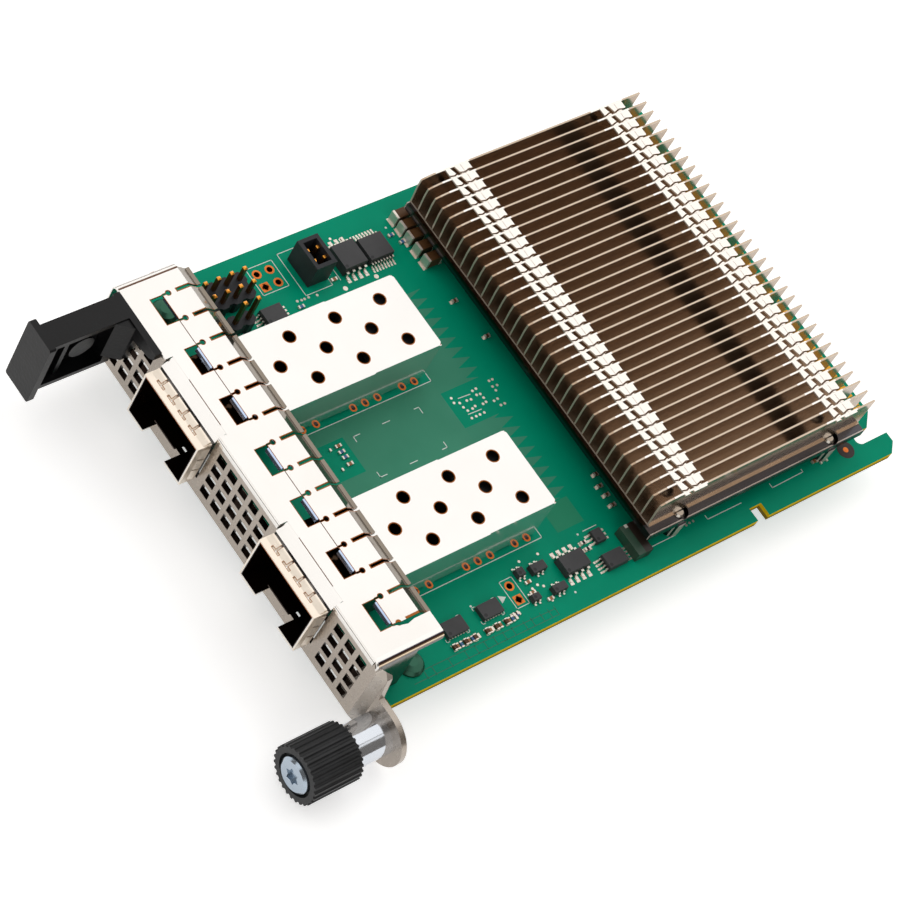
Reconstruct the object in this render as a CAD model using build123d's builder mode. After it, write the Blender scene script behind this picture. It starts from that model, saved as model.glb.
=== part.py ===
from build123d import *
import os
from math import cos, pi, sin, tan, radians

# A mezzanine network card, in millimetres. X runs along the faceplate towards the
# thumbscrew, Y from the faceplate's front to the edge connector, and Z up from the
# board's top face. The origin is on the faceplate's front, above the board's middle.

# Board
board_width = 76.0
board_thick = 1.57
board_front = 5.4
card_depth = 115.0
side_notch_y = 82.0
side_notch_width = 2.6
side_notch_depth = 2.4
tongue_inset = 5.8
tongue_back = 0.4
tongue_chamfer = 2.4
ear_slot_width = 2.2
ear_slot_length = 5.4
ear_chamfer = 1.8
ring_hole = 0.7
ring_hole_inset = 4.0
ring_hole_y = 105.6

# Edge connector
contact_pitch = 0.6
contact_width = 0.42
contact_length = 3.4
contact_thick = 0.05
contact_set_back = 0.7
contact_groups = (14, 28, 14, 28)
contact_key_gap = 2.4

# Faceplate
plate_thick = 1.0
plate_left_inset = 3.4
crease_inset = 2.4
plate_top = 11.55
crease_top = 9.8
joggle_run = 1.2
joggle_set_back = 2.0
joggle_shoulder = 8.3
ear_reach = 5.4
ear_bore = 5.2
vent_size = 1.95
vent_pitch_x = 2.83
vent_pitch_z = 2.83
vent_rows = 4
vent_top = 9.4
vent_margin = 0.9
vent_left_margin = 2.8
vent_right_margin = 1.2
plate_corner = 1.2
plate_front_chamfer = 0.4
foot_width = 5.2
foot_depth = 16.0
foot_inset = 5.0
plate_screw_inset = 4.3
plate_screw_y = 12.3
plate_screw_hole = 2.7
plate_screw_shank = 2.5
plate_screw_head = 4.4
plate_screw_head_height = 1.1
plate_screw_rim = 0.33
plate_screw_dome = 0.83
plate_screw_shoulder = 1.8
plate_screw_flat = 0.9

# Spring contact strip over the top of the faceplate
strip_sheet = 0.25
strip_top = 11.8
strip_right_inset = 3.7
strip_left_over = 1.1
strip_flat = 11.1
strip_near_flat = 12.7
finger_reach = 14.0
finger_drop = 1.75
finger_slit = 0.45
finger_slit_y = 8.7
last_slit_swell = 0.3
finger_bend = 1.0
finger_end = 0.7
window_count = 7
window_pitch = 9.5
window_first_inset = 5.85
window_width = 4.8
window_y = 3.7
window_depth = 2.3
window_flange = 0.6
keyhole_y = 7.1
keyhole_dot = 0.8
keyhole_slit = 0.25
strip_lip_set_back = 1.3
strip_roll = 1.0
side_flange_bottom = 2.0
hem_drop = 1.05
hem_bend = 0.6
lip_front = -0.35
lip_drop = 1.45
gusset_rear = 8.0
gusset_foot_front = 6.2
gusset_foot_rear = 8.5
gusset_front_bottom = 6.5

# Module cages
cage_x = (-14.0, 16.85)
cage_width = 14.0
cage_height = 9.75
cage_sheet = 0.25
cage_floor = 0.35
cage_rear = 44.5
nose_front = -3.2
nose_gap = 0.2
cage_hole = 2.0
cage_hole_step_x = 3.95
cage_hole_step_y = 8.95
cage_hole_first_y = 21.9
cage_hole_middle_y = 17.4
cage_hole_rows = 3
cage_pin_y = (10.5, 23.1, 31.0, 33.2, 35.6, 40.6, 42.8)
cage_pin_width = 0.55
cage_pin_hole = 1.0
latch_width = 6.0
latch_depth = 4.4
latch_rise = 2.4
latch_root_y = 7.0
latch_tip = 1.2
latch_gap = 0.3
cage_pin_shoulder = 1.1
cage_pin_reach = 0.7
cage_pin_point = 0.4
collar_sheet = 0.2
collar_depth = 2.6
collar_band = 1.1
collar_crest = 2.0
collar_crest_flat = 0.3
collar_bulge = 0.55
collar_fingers = 5
collar_side_fingers = 3
collar_finger_pitch = 2.84
collar_finger_shift = -0.35
collar_slot = 0.3
collar_window = 1.7
collar_window_depth = 0.25
cover_flange = 0.12
cover_flange_front = 3.0
cover_flange_rear = 31.0
cover_flange_drop = 5.9
cage_corner = 0.7

# Module connectors inside the cages
port_width = 11.4
port_height = 8.4
port_front = 32.5
port_rear = 42.5
port_slot_width = 9.6
port_slot_height = 1.5
port_slot_z = 4.6
port_slot_depth = 6.0
port_chamfer = 0.8
port_gap = 0.2
port_contact_set_back = 0.6
port_contact_count = 10
port_contact_pitch = 0.8
port_contact_width = 0.35
port_contact_thick = 0.25

# Pull tab
tab_grip_thick = 1.15
tab_grip_front = -16.0
tab_grip_width = 6.0
tab_grip_bottom = -1.4
tab_grip_top = 12.4
tab_grip_left = -35.0
tab_body_width = 4.3
tab_body_left = -33.9
tab_body_bottom = 0.3
tab_body_top = 12.0
tab_wall = 0.9
tab_recess = 2.6
tab_corner = 0.4
tab_rib_place = 3.2
tab_rib_thick = 0.8
tab_boss_place = 6.6
tab_boss_radius = 2.2
tab_boss_share = 0.6
tab_collar = 2.0
tab_gusset = 3.6
tab_base_right = -22.4
tab_base_step = 1.9
tab_base_margin = 0.3
tab_base_shoulder = 1.5
tab_base_bottom = 3.2
tab_base_lean = 0.5
tab_base_top = 12.0
tab_rail_bottom = 9.3
tab_rail_left_drop = 0.9
tab_rail_step = 0.7
tab_base_thick = 1.2

# Captive thumbscrew
screw_out_from_edge = 2.3
screw_z = -1.8
knob_radius = 4.75
knob_front = -13.6
knob_rear = -4.6
knob_web = 0.8
knob_recess = 0.9
knob_recess_radius = 3.5
knob_bore_radius = 3.7
knob_ribs = 28
knob_rib_depth = 0.35
sleeve_radius = 3.45
push_travel = 3.6
push_clearance = 0.3
sleeve_web_front = -1.6
sleeve_web_rear = -0.4
sleeve_spring_radius = 2.4
sleeve_thread_radius = 1.75
screw_neck_radius = 1.25
screw_fit = 0.05
screw_thread_radius = 1.5
screw_thread_length = 2.85
screw_thread_chamfer = 0.4
screw_head_radius = 2.95
screw_head_height = 1.35
screw_head_chamfer = 0.4
star_radius = 1.5
star_depth = 0.6
star_waist = 0.66
spring_wire = 0.4
spring_turns = 6
spring_radius = 1.9

# Heat sink
sink_left_inset = 4.3
sink_right_inset = 4.2
sink_front = 59.2
sink_rear = 107.2
sink_base_top = 4.6
sink_base_thick = 1.4
fin_pitch = 1.985
fin_sheet = 0.3
fin_top = 11.3
fin_front_set_back = 0.65
fin_rear_set_back = 0.2
fin_strip = 1.6
fin_gap = 0.02
fin_lean = 0.55
fin_lean_height = 4.6
fin_knee_drop = 0.4
fin_last_foot = 0.6
zip_rows = (64.1, 97.85)
zip_narrow_far = 0.8
zip_narrow_near = 1.45
zip_flap_reach = 0.5
zip_flap_drop = 0.45
zip_flap_margin = 0.15
zip_wide_far = 1.8
zip_wide_near = 2.3
zip_rear = 4.75
zip_seam = 3.1
zip_seam_width = 0.08
zip_seam_depth = 0.1
zip_notch = 3.8
zip_notch_width = 0.25
standoff_radius = 1.9
pocket_radius = 1.5
pocket_depth = 0.9
sink_screw_radius = 1.0
sink_screw_inset = 1.6
sink_screw_y = (66.7, 100.5)
sink_screw_fit = 0.15
sink_screw_chamfer = 0.3
sink_screw_tip = 0.1
sink_screw_head_radius = 1.9
sink_screw_head_height = 1.0
chip_size = 23.0
chip_x = -2.0
chip_y = 82.0
chip_thick = 2.5
chip_substrate = 1.2
chip_substrate_margin = 1.0
chip_lid_margin = 0.5
pad_margin = 1.0
pad_thick = 0.3

# Chips on the board
lead_thick = 0.18
lead_share = 0.38
chip_stand_off = 0.1
chip_draft = 4
lead_shoulder_share = 0.55
lead_bend_share = 0.4
lead_root = 0.2
transistor_height = 1.1
transistor_lead_pitch = 0.9
transistor_lead_reach = 0.5
switch_height = 0.9
capacitor_height = 2.2
capacitor_width = 1.6
capacitor_front = 57.7
capacitor_rear = 60.9
inductor_height = 2.0
small_part = (1.0, 0.5)
small_capacitor_height = 0.5
resistor_height = 0.35

# Pin headers
pin_size = 0.64
pin_hole = 1.02
pin_tail = 1.0
pin_pitch = 2.54
pin_chamfer = 0.19
header_height = 2.5
header_waist = 0.7
header_8_tip = 5.8
header_2_tip = 8.3
box_pitch = 2.0
box_pin = 0.5
box_width = 5.8
box_depth = 4.1
box_height = 5.0
box_floor = 1.2
box_wall = 0.7
box_pin_drop = 0.6

# Values worked out from the sizes above
edge = board_width / 2
plate_left = plate_left_inset - edge
crease_x = edge - crease_inset
ear_front = joggle_set_back
screw_x = edge + screw_out_from_edge
strip_left = plate_left - strip_left_over
strip_right = edge - strip_right_inset + strip_roll
foot_top = -board_thick
nose_width = cage_width + 0.3
contact_back = card_depth - tongue_back - contact_set_back
window_x = [plate_left + window_first_inset + i * window_pitch for i in range(window_count)]
slit_x = [x + side * window_width / 2 for x in window_x for side in (-1, 1)]
cage_spans = [(x - nose_width / 2 - nose_gap, x + nose_width / 2 + nose_gap) for x in cage_x]
sink_left = sink_left_inset - edge
sink_right = edge - sink_right_inset
fin_count = int((sink_right - sink_left - fin_strip) / fin_pitch + 0.01) + 1
fin_x = [sink_left + i * fin_pitch for i in range(fin_count)]
sink_screw_x = sink_right - sink_screw_inset
sink_screws = [(side * sink_screw_x, y) for side in (-1, 1) for y in sink_screw_y]
plate_screws = [(side * (edge - plate_screw_inset), plate_screw_y) for side in (-1, 1)]
header_8_xy = (6.2 - edge, 21.7)
header_2_xy = (11.5 - edge, 21.4)
spare_holes_xy = (5.5 - edge, 31.7)
test_holes_xy = (edge - 7.1, 35.15)
box_xy = (6.6 - edge, 38.95)


def grid(centre, columns, rows, pitch):
    """Points of a rectangular grid round a centre."""
    first_x = centre[0] - (columns - 1) * pitch / 2
    first_y = centre[1] - (rows - 1) * pitch / 2
    return [(first_x + i * pitch, first_y + j * pitch) for i in range(columns) for j in range(rows)]


header_8_pins = grid(header_8_xy, 2, 4, pin_pitch)
header_2_pins = grid(header_2_xy, 1, 2, pin_pitch)
spare_holes = grid(spare_holes_xy, 2, 2, pin_pitch)
test_holes = grid(test_holes_xy, 2, 1, pin_pitch)
box_pins = grid(box_xy, 2, 2, box_pitch)
cage_pins = [(x + side * (cage_width - cage_sheet) / 2, y)
             for x in cage_x for side in (-1, 1) for y in cage_pin_y]

os.makedirs("parts", exist_ok=True)


def keep(part, name):
    """Labels a finished piece and writes its file."""
    part.label = name
    export_step(part, f"parts/{name}.step")


# The circuit board, with its tongue, ears, side notches and plated holes
tongue_half = edge - tongue_inset
tongue_end = card_depth - tongue_back
slot_end = card_depth - ear_slot_length
ear_inner = tongue_half + ear_slot_width
with BuildPart() as circuit_board:
    with BuildSketch(Plane.XY.offset(-board_thick)):
        with BuildLine():
            Polyline(
                (0, board_front),
                (edge, board_front),
                (edge, side_notch_y),
                (edge - side_notch_depth, side_notch_y),
                (edge - side_notch_depth, side_notch_y + side_notch_width),
                (edge, side_notch_y + side_notch_width),
                (edge, card_depth - ear_chamfer),
                (edge - ear_chamfer, card_depth),
                (ear_inner, card_depth),
                (ear_inner, slot_end),
            )
            Line((tongue_half, slot_end), (tongue_half, tongue_end - tongue_chamfer))
            ThreePointArc(
                (ear_inner, slot_end),
                (tongue_half + ear_slot_width / 2, slot_end - ear_slot_width / 2),
                (tongue_half, slot_end),
            )
            Polyline(
                (tongue_half, tongue_end - tongue_chamfer),
                (tongue_half - tongue_chamfer, tongue_end),
                (0, tongue_end),
            )
            mirror(about=Plane.YZ)
        make_face()
    extrude(amount=board_thick)
    with Locations(*header_8_pins, *header_2_pins, *spare_holes, *test_holes):
        Hole(pin_hole / 2)
    with Locations(*box_pins):
        Hole(pin_hole / 2)
    with Locations(*cage_pins):
        Hole(cage_pin_hole / 2)
    with Locations(*plate_screws):
        Hole(plate_screw_hole / 2)
    with Locations(*sink_screws):
        Hole(sink_screw_radius + sink_screw_fit)
    with Locations((edge - ring_hole_inset, ring_hole_y)):
        Hole(ring_hole)
keep(circuit_board.part, "circuit_board")

# The gold contacts on both faces of the tongue
contact_run = sum(contact_groups) * contact_pitch + (len(contact_groups) - 1) * contact_key_gap
contact_x = []
start = -contact_run / 2 + contact_pitch / 2
for count in contact_groups:
    contact_x += [start + i * contact_pitch for i in range(count)]
    start += count * contact_pitch + contact_key_gap
with BuildPart() as edge_contacts:
    for base in (0, -board_thick - contact_thick):
        with BuildSketch(Plane.XY.offset(base)):
            with Locations(*[(x, contact_back - contact_length / 2) for x in contact_x]):
                Rectangle(contact_width, contact_length)
        extrude(amount=contact_thick)
keep(edge_contacts.part, "edge_contacts")

# The faceplate: a plan profile cut to its front outline, with vents, cage openings and feet
joggle_x = crease_x + joggle_run
ear_end = screw_x + ear_reach
bend_in = plate_thick * tan(radians(20))
cage_opening_bottom = cage_floor - nose_gap
with BuildPart() as faceplate:
    with BuildSketch(Plane.XY.offset(foot_top - 10)):
        with BuildLine():
            Polyline(
                (plate_left, 0),
                (crease_x, 0),
                (joggle_x, ear_front),
                (ear_end, ear_front),
                (ear_end, ear_front + plate_thick),
                (joggle_x - bend_in, ear_front + plate_thick),
                (crease_x - bend_in, plate_thick),
                (plate_left, plate_thick),
                close=True,
            )
        make_face()
    extrude(amount=plate_top - foot_top + 10)
    with BuildSketch(Plane.XZ.offset(2)):
        with BuildLine():
            Polyline(
                (screw_x, screw_z + ear_reach),
                (joggle_x + plate_corner / 2, screw_z + ear_reach),
                (joggle_x, joggle_shoulder),
                (crease_x, crease_top),
                (crease_x - plate_corner, plate_top),
                (plate_left, plate_top),
                (plate_left, foot_top - plate_thick),
                (crease_x, foot_top - plate_thick),
                (screw_x - ear_reach * sin(radians(35)), screw_z - ear_reach * cos(radians(35))),
            )
            CenterArc((screw_x, screw_z), ear_reach, -125, 215)
        make_face()
    extrude(amount=-card_depth, mode=Mode.INTERSECT)
    with BuildSketch(Plane.YZ.offset(plate_left)):
        with Locations((0, plate_top)):
            Rectangle(plate_front_chamfer * 2 ** 0.5, plate_front_chamfer * 2 ** 0.5, rotation=45)
    extrude(amount=ear_end - plate_left, mode=Mode.SUBTRACT)
    with BuildSketch(Plane.XZ):
        for left, right in cage_spans:
            with Locations(((left + right) / 2, (cage_opening_bottom + plate_top + 1) / 2)):
                Rectangle(right - left, plate_top + 1 - cage_opening_bottom)
        with Locations((screw_x, screw_z)):
            Circle(ear_bore / 2)
        vent_ranges = (
            (plate_left + vent_left_margin, cage_spans[0][0] - vent_margin),
            (cage_spans[0][1] + vent_margin, cage_spans[1][0] - vent_margin),
            (cage_spans[1][1] + vent_margin, crease_x - vent_right_margin),
        )
        for low, high in vent_ranges:
            columns = int((high - low - vent_size) / vent_pitch_x + 0.2) + 1
            middle_x = (low + high) / 2
            middle_z = vent_top - vent_size / 2 - (vent_rows - 1) * vent_pitch_z / 2
            with Locations((middle_x, middle_z)):
                with GridLocations(vent_pitch_x, vent_pitch_z, columns, vent_rows):
                    Rectangle(vent_size, vent_size)
    extrude(amount=-card_depth, mode=Mode.SUBTRACT)
    with BuildSketch(Plane.XY.offset(foot_top - plate_thick)):
        for side in (-1, 1):
            with Locations((side * (edge - foot_inset), foot_depth / 2)):
                Rectangle(foot_width, foot_depth)
    extrude(amount=plate_thick)
    with Locations(*[(x, y, foot_top) for x, y in plate_screws]):
        Hole(plate_screw_shank / 2)
keep(faceplate.part, "faceplate")


def cage(x):
    """One module cage: a folded box with a mouth, a latch tongue, top holes and board pins."""
    inner = cage_width - 2 * cage_sheet
    roof = cage_height - cage_sheet
    pin_end = -board_thick - cage_pin_reach
    with BuildPart() as shell:
        with BuildSketch(Plane.XZ.offset(-nose_front)):
            with Locations((x, (cage_floor + cage_height) / 2)):
                Rectangle(cage_width, cage_height - cage_floor)
            with Locations((x, (cage_floor + cage_height) / 2)):
                Rectangle(inner, roof - cage_floor - cage_sheet, mode=Mode.SUBTRACT)
        extrude(amount=-(cage_rear - nose_front))
        with BuildSketch(Plane.XZ.offset(-cage_rear)):
            with Locations((x, (cage_floor + cage_height) / 2)):
                Rectangle(cage_width, cage_height - cage_floor)
        extrude(amount=cage_sheet)
        with BuildSketch(Plane.XY.offset(cage_height - cover_flange_drop)):
            with Locations((x, (cover_flange_front + cover_flange_rear) / 2)):
                Rectangle(cage_width + 2 * cover_flange, cover_flange_rear - cover_flange_front)
                Rectangle(cage_width - cage_sheet, cover_flange_rear - cover_flange_front, mode=Mode.SUBTRACT)
        extrude(amount=cover_flange_drop)
        with BuildSketch(Plane.XY.offset(cage_height - cage_sheet)):
            with Locations(*[(x + side * cage_width / 2, cage_rear) for side in (-1, 1)]):
                Rectangle(cage_corner, cage_corner, rotation=45)
        extrude(amount=cage_sheet, mode=Mode.SUBTRACT)
        with BuildSketch(Plane.XY.offset(cage_height - 2 * cage_sheet)):
            with Locations((x, cage_hole_middle_y + cage_hole_step_y)):
                with GridLocations(cage_hole_step_x, cage_hole_step_y, 1, cage_hole_rows):
                    Circle(cage_hole / 2)
            with Locations((x, cage_hole_first_y + cage_hole_step_y)):
                with GridLocations(2 * cage_hole_step_x, cage_hole_step_y, 2, cage_hole_rows):
                    Circle(cage_hole / 2)
        extrude(amount=2 * cage_sheet, mode=Mode.SUBTRACT)
        with BuildSketch(Plane.XY.offset(cage_floor - cage_sheet)):
            with Locations((x, nose_front + latch_depth / 2)):
                Rectangle(latch_width, latch_depth)
            with Locations((x, (port_front + port_rear) / 2)):
                Rectangle(port_width + 2 * port_gap, port_rear - port_front + 2 * port_gap)
        extrude(amount=2 * cage_sheet, mode=Mode.SUBTRACT)
        latch_tip_y = nose_front + latch_tip
        with BuildSketch(Plane.YZ.offset(x - latch_width / 2 + latch_gap)):
            with BuildLine():
                Polyline(
                    (latch_root_y, cage_floor + cage_sheet),
                    (latch_tip_y, cage_floor + cage_sheet + latch_rise),
                    (latch_tip_y, cage_floor + latch_rise),
                    (latch_root_y - 1, cage_floor),
                    (latch_root_y, cage_floor),
                    close=True,
                )
            make_face()
        extrude(amount=latch_width - 2 * latch_gap)
        for side in (-1, 1):
            wall = x + side * (cage_width - cage_sheet) / 2
            for y in cage_pin_y:
                with BuildSketch(Plane.YZ.offset(wall - cage_sheet / 2)):
                    with BuildLine():
                        Polyline(
                            (y - cage_pin_shoulder, cage_floor + 1),
                            (y - cage_pin_shoulder, 0),
                            (y - cage_pin_width / 2, 0),
                            (y - cage_pin_width / 2, pin_end + cage_pin_point),
                            (y, pin_end),
                            (y + cage_pin_width / 2, pin_end + cage_pin_point),
                            (y + cage_pin_width / 2, 0),
                            (y + cage_pin_shoulder, 0),
                            (y + cage_pin_shoulder, cage_floor + 1),
                            close=True,
                        )
                    make_face()
                extrude(amount=cage_sheet)
    return shell.part


def collar(x):
    """The spring collar round one nose: a band with rows of bulging fingers on top and both sides."""
    side_x = cage_width / 2
    middle_z = (cage_floor + cage_height) / 2
    root = nose_front + collar_band
    crest = nose_front + collar_crest
    rear = nose_front + collar_depth
    finger_middle = (root + rear) / 2
    bulge = [(root, 0), (crest, collar_bulge), (crest + collar_crest_flat, collar_bulge), (rear, 0)]
    with BuildPart() as band:
        with BuildSketch(Plane.XZ.offset(-nose_front)):
            with Locations((x, middle_z)):
                Rectangle(cage_width + 2 * collar_sheet, cage_height - cage_floor + 2 * collar_sheet)
                Rectangle(cage_width, cage_height - cage_floor, mode=Mode.SUBTRACT)
            with Locations((x, cage_floor)):
                Rectangle(latch_width, 1, mode=Mode.SUBTRACT)
        extrude(amount=-collar_depth)
        with BuildSketch(Plane.YZ.offset(x - side_x)):
            with BuildLine():
                Polyline(*[(y, cage_height + collar_sheet + rise) for y, rise in bulge], close=True)
            make_face()
        extrude(amount=cage_width)
        side_height = collar_side_fingers * collar_finger_pitch
        for side in (-1, 1):
            with BuildSketch(Plane.XY.offset(middle_z - side_height / 2)):
                with BuildLine():
                    outer = x + side * (side_x + collar_sheet)
                    Polyline(*[(outer + side * rise / 2, y) for y, rise in bulge], close=True)
                make_face()
            extrude(amount=side_height)
        with BuildSketch(Plane.XY.offset(cage_height)):
            with Locations((x + collar_finger_shift, finger_middle + collar_slot)):
                with GridLocations(collar_finger_pitch, 1, collar_fingers - 1, 1):
                    Rectangle(collar_slot, rear - root + 2 * collar_slot)
            with Locations((x + collar_finger_shift, root)):
                with GridLocations(collar_finger_pitch, 1, collar_fingers - 1, 1):
                    Rectangle(collar_window, collar_window_depth)
        extrude(amount=collar_sheet + collar_bulge, mode=Mode.SUBTRACT)
        for side in (-1, 1):
            with BuildSketch(Plane.YZ.offset(x + side * side_x)):
                with Locations((finger_middle + collar_slot, middle_z)):
                    with GridLocations(1, collar_finger_pitch, 1, collar_side_fingers + 1):
                        Rectangle(rear - root + 2 * collar_slot, collar_slot)
            extrude(amount=side * (collar_sheet + collar_bulge), mode=Mode.SUBTRACT)
    return band.part


for number, x in enumerate(cage_x, start=1):
    keep(cage(x), f"module_cage_{number}")
    keep(collar(x), f"cage_collar_{number}")

# The connector at the back of each cage, and its two rows of contacts
for number, x in enumerate(cage_x, start=1):
    with BuildPart() as port:
        with BuildSketch(Plane.YZ.offset(x - port_width / 2)):
            with BuildLine():
                Polyline(
                    (port_front, 0),
                    (port_front, port_height - port_chamfer),
                    (port_front + port_chamfer, port_height),
                    (port_rear, port_height),
                    (port_rear, 0),
                    close=True,
                )
            make_face()
        extrude(amount=port_width)
        with BuildSketch(Plane.XZ.offset(-port_front)):
            with Locations((x, port_slot_z)):
                Rectangle(port_slot_width, port_slot_height)
        extrude(amount=-port_slot_depth, mode=Mode.SUBTRACT)
    keep(port.part, f"port_connector_{number}")
    with BuildPart() as port_contacts:
        for side in (-1, 1):
            low = port_slot_z + side * (port_slot_height - port_contact_thick) / 2
            with BuildSketch(Plane.XZ.offset(-port_front - port_contact_set_back)):
                with Locations((x, low)):
                    with GridLocations(port_contact_pitch, 1, port_contact_count, 1):
                        Rectangle(port_contact_width, port_contact_thick)
            extrude(amount=-(port_slot_depth - port_contact_set_back))
    keep(port_contacts.part, f"port_contacts_{number}")

# The spring contact strip: its section along X, the bent fingers, hems, openings and lips
strip_bottom = strip_top - strip_sheet
strip_lip = strip_top - lip_drop
finger_left = strip_left + strip_roll
last_slit = slit_x[-1]
slit_near = last_slit + finger_slit
window_rear = window_y + window_depth
hem_spans = (
    (cage_spans[0][1], cage_spans[1][0]),
    (cage_spans[1][1], crease_x - plate_corner),
)
with BuildPart() as emi_strip:
    with BuildSketch(Plane.XZ):
        with BuildLine():
            FilletPolyline(
                (strip_left, side_flange_bottom),
                (strip_left, strip_top),
                (strip_right, strip_top),
                (strip_right, strip_lip),
                radius=strip_roll,
            )
            offset(amount=strip_sheet, side=Side.RIGHT)
        make_face()
    extrude(amount=-strip_flat)
    with BuildSketch(Plane.XZ.offset(-strip_flat)):
        with BuildLine():
            FilletPolyline(
                (slit_near, strip_top),
                (strip_right, strip_top),
                (strip_right, strip_lip),
                radius=strip_roll,
            )
            offset(amount=strip_sheet, side=Side.RIGHT)
        make_face()
    extrude(amount=-(strip_near_flat - strip_flat))
    with BuildSketch(Plane.YZ.offset(finger_left)):
        with BuildLine():
            FilletPolyline(
                (strip_flat - 1, strip_top),
                (strip_flat, strip_top),
                (finger_reach - finger_end, strip_top - finger_drop),
                (finger_reach, strip_top - finger_drop),
                radius=finger_bend / 2,
            )
            offset(amount=strip_sheet, side=Side.RIGHT)
        make_face()
    extrude(amount=last_slit - finger_left)
    for left, right in hem_spans:
        with BuildSketch(Plane.YZ.offset(left)):
            with BuildLine():
                FilletPolyline(
                    (strip_lip_set_back, strip_top),
                    (-strip_sheet, strip_top),
                    (-strip_sheet, strip_top - hem_drop),
                    radius=hem_bend,
                )
                offset(amount=strip_sheet, side=Side.LEFT)
            make_face()
        extrude(amount=right - left)
    with BuildSketch(Plane.XY.offset(strip_bottom - finger_drop)):
        with Locations(*[(x, (window_y + window_rear) / 2) for x in window_x]):
            Rectangle(window_width, window_depth)
        with Locations(*[(x, (window_rear + keyhole_y) / 2) for x in slit_x]):
            Rectangle(keyhole_slit, keyhole_y - window_rear + keyhole_slit)
        with Locations(*[(x, keyhole_y) for x in slit_x[:-1]]):
            Circle(keyhole_dot / 2)
        with Locations(*[(x, (finger_slit_y + finger_reach + 1) / 2) for x in slit_x[:-1]]):
            Rectangle(finger_slit, finger_reach + 1 - finger_slit_y)
        with BuildLine():
            Polyline(
                (last_slit, window_rear),
                (slit_near, window_rear + 1),
                (slit_near + last_slit_swell, finger_slit_y - last_slit_swell),
                (slit_near, finger_slit_y + 1),
                (slit_near, finger_reach),
                (last_slit, finger_reach),
                close=True,
            )
        make_face()
        for left, right in cage_spans:
            with Locations(((left + right) / 2, (strip_lip_set_back - strip_sheet) / 2)):
                Rectangle(right - left, strip_lip_set_back + strip_sheet)
    extrude(amount=finger_drop + 2 * strip_sheet, mode=Mode.SUBTRACT)
    with BuildSketch(Plane.XY.offset(strip_top - window_flange)):
        with Locations(*[(x, window_rear + strip_sheet / 2) for x in window_x]):
            Rectangle(window_width - keyhole_dot, strip_sheet)
    extrude(amount=window_flange)
    for left, right in cage_spans:
        with BuildSketch(Plane.YZ.offset(left + nose_gap / 2)):
            with BuildLine():
                Polyline(
                    (strip_lip_set_back + strip_sheet, strip_top),
                    (strip_lip_set_back - strip_sheet, strip_top - strip_sheet / 2),
                    (lip_front, strip_top - lip_drop),
                    (lip_front + strip_sheet / 2, strip_top - lip_drop - strip_sheet),
                    (strip_lip_set_back + strip_sheet, strip_bottom - strip_sheet / 2),
                    close=True,
                )
            make_face()
        extrude(amount=right - left - nose_gap)
    with BuildSketch(Plane.YZ.offset(strip_right - strip_sheet)):
        with BuildLine():
            Polyline(
                (strip_lip_set_back, strip_lip),
                (gusset_rear, strip_lip),
                (gusset_foot_rear, 0),
                (gusset_foot_front, 0),
                (strip_lip_set_back, gusset_front_bottom),
                close=True,
            )
        make_face()
    extrude(amount=strip_sheet)
keep(emi_strip.part, "emi_strip")

# The two screws that hold the board to the faceplate's feet
screw_end = foot_top - plate_thick
with BuildPart() as faceplate_screws:
    for x, y in plate_screws:
        with BuildSketch(Plane.XZ.offset(-y)):
            with BuildLine():
                Polyline(
                    (x, plate_screw_head_height),
                    (x, screw_end),
                    (x + plate_screw_shank / 2, screw_end),
                    (x + plate_screw_shank / 2, 0),
                    (x + plate_screw_head / 2, 0),
                    (x + plate_screw_head / 2, plate_screw_rim),
                    (x + plate_screw_shoulder, plate_screw_dome),
                    (x + plate_screw_flat, plate_screw_head_height),
                    close=True,
                )
            make_face()
        revolve(axis=Axis((x, y, 0), (0, 0, 1)))
keep(faceplate_screws.part, "faceplate_screws")

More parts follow.
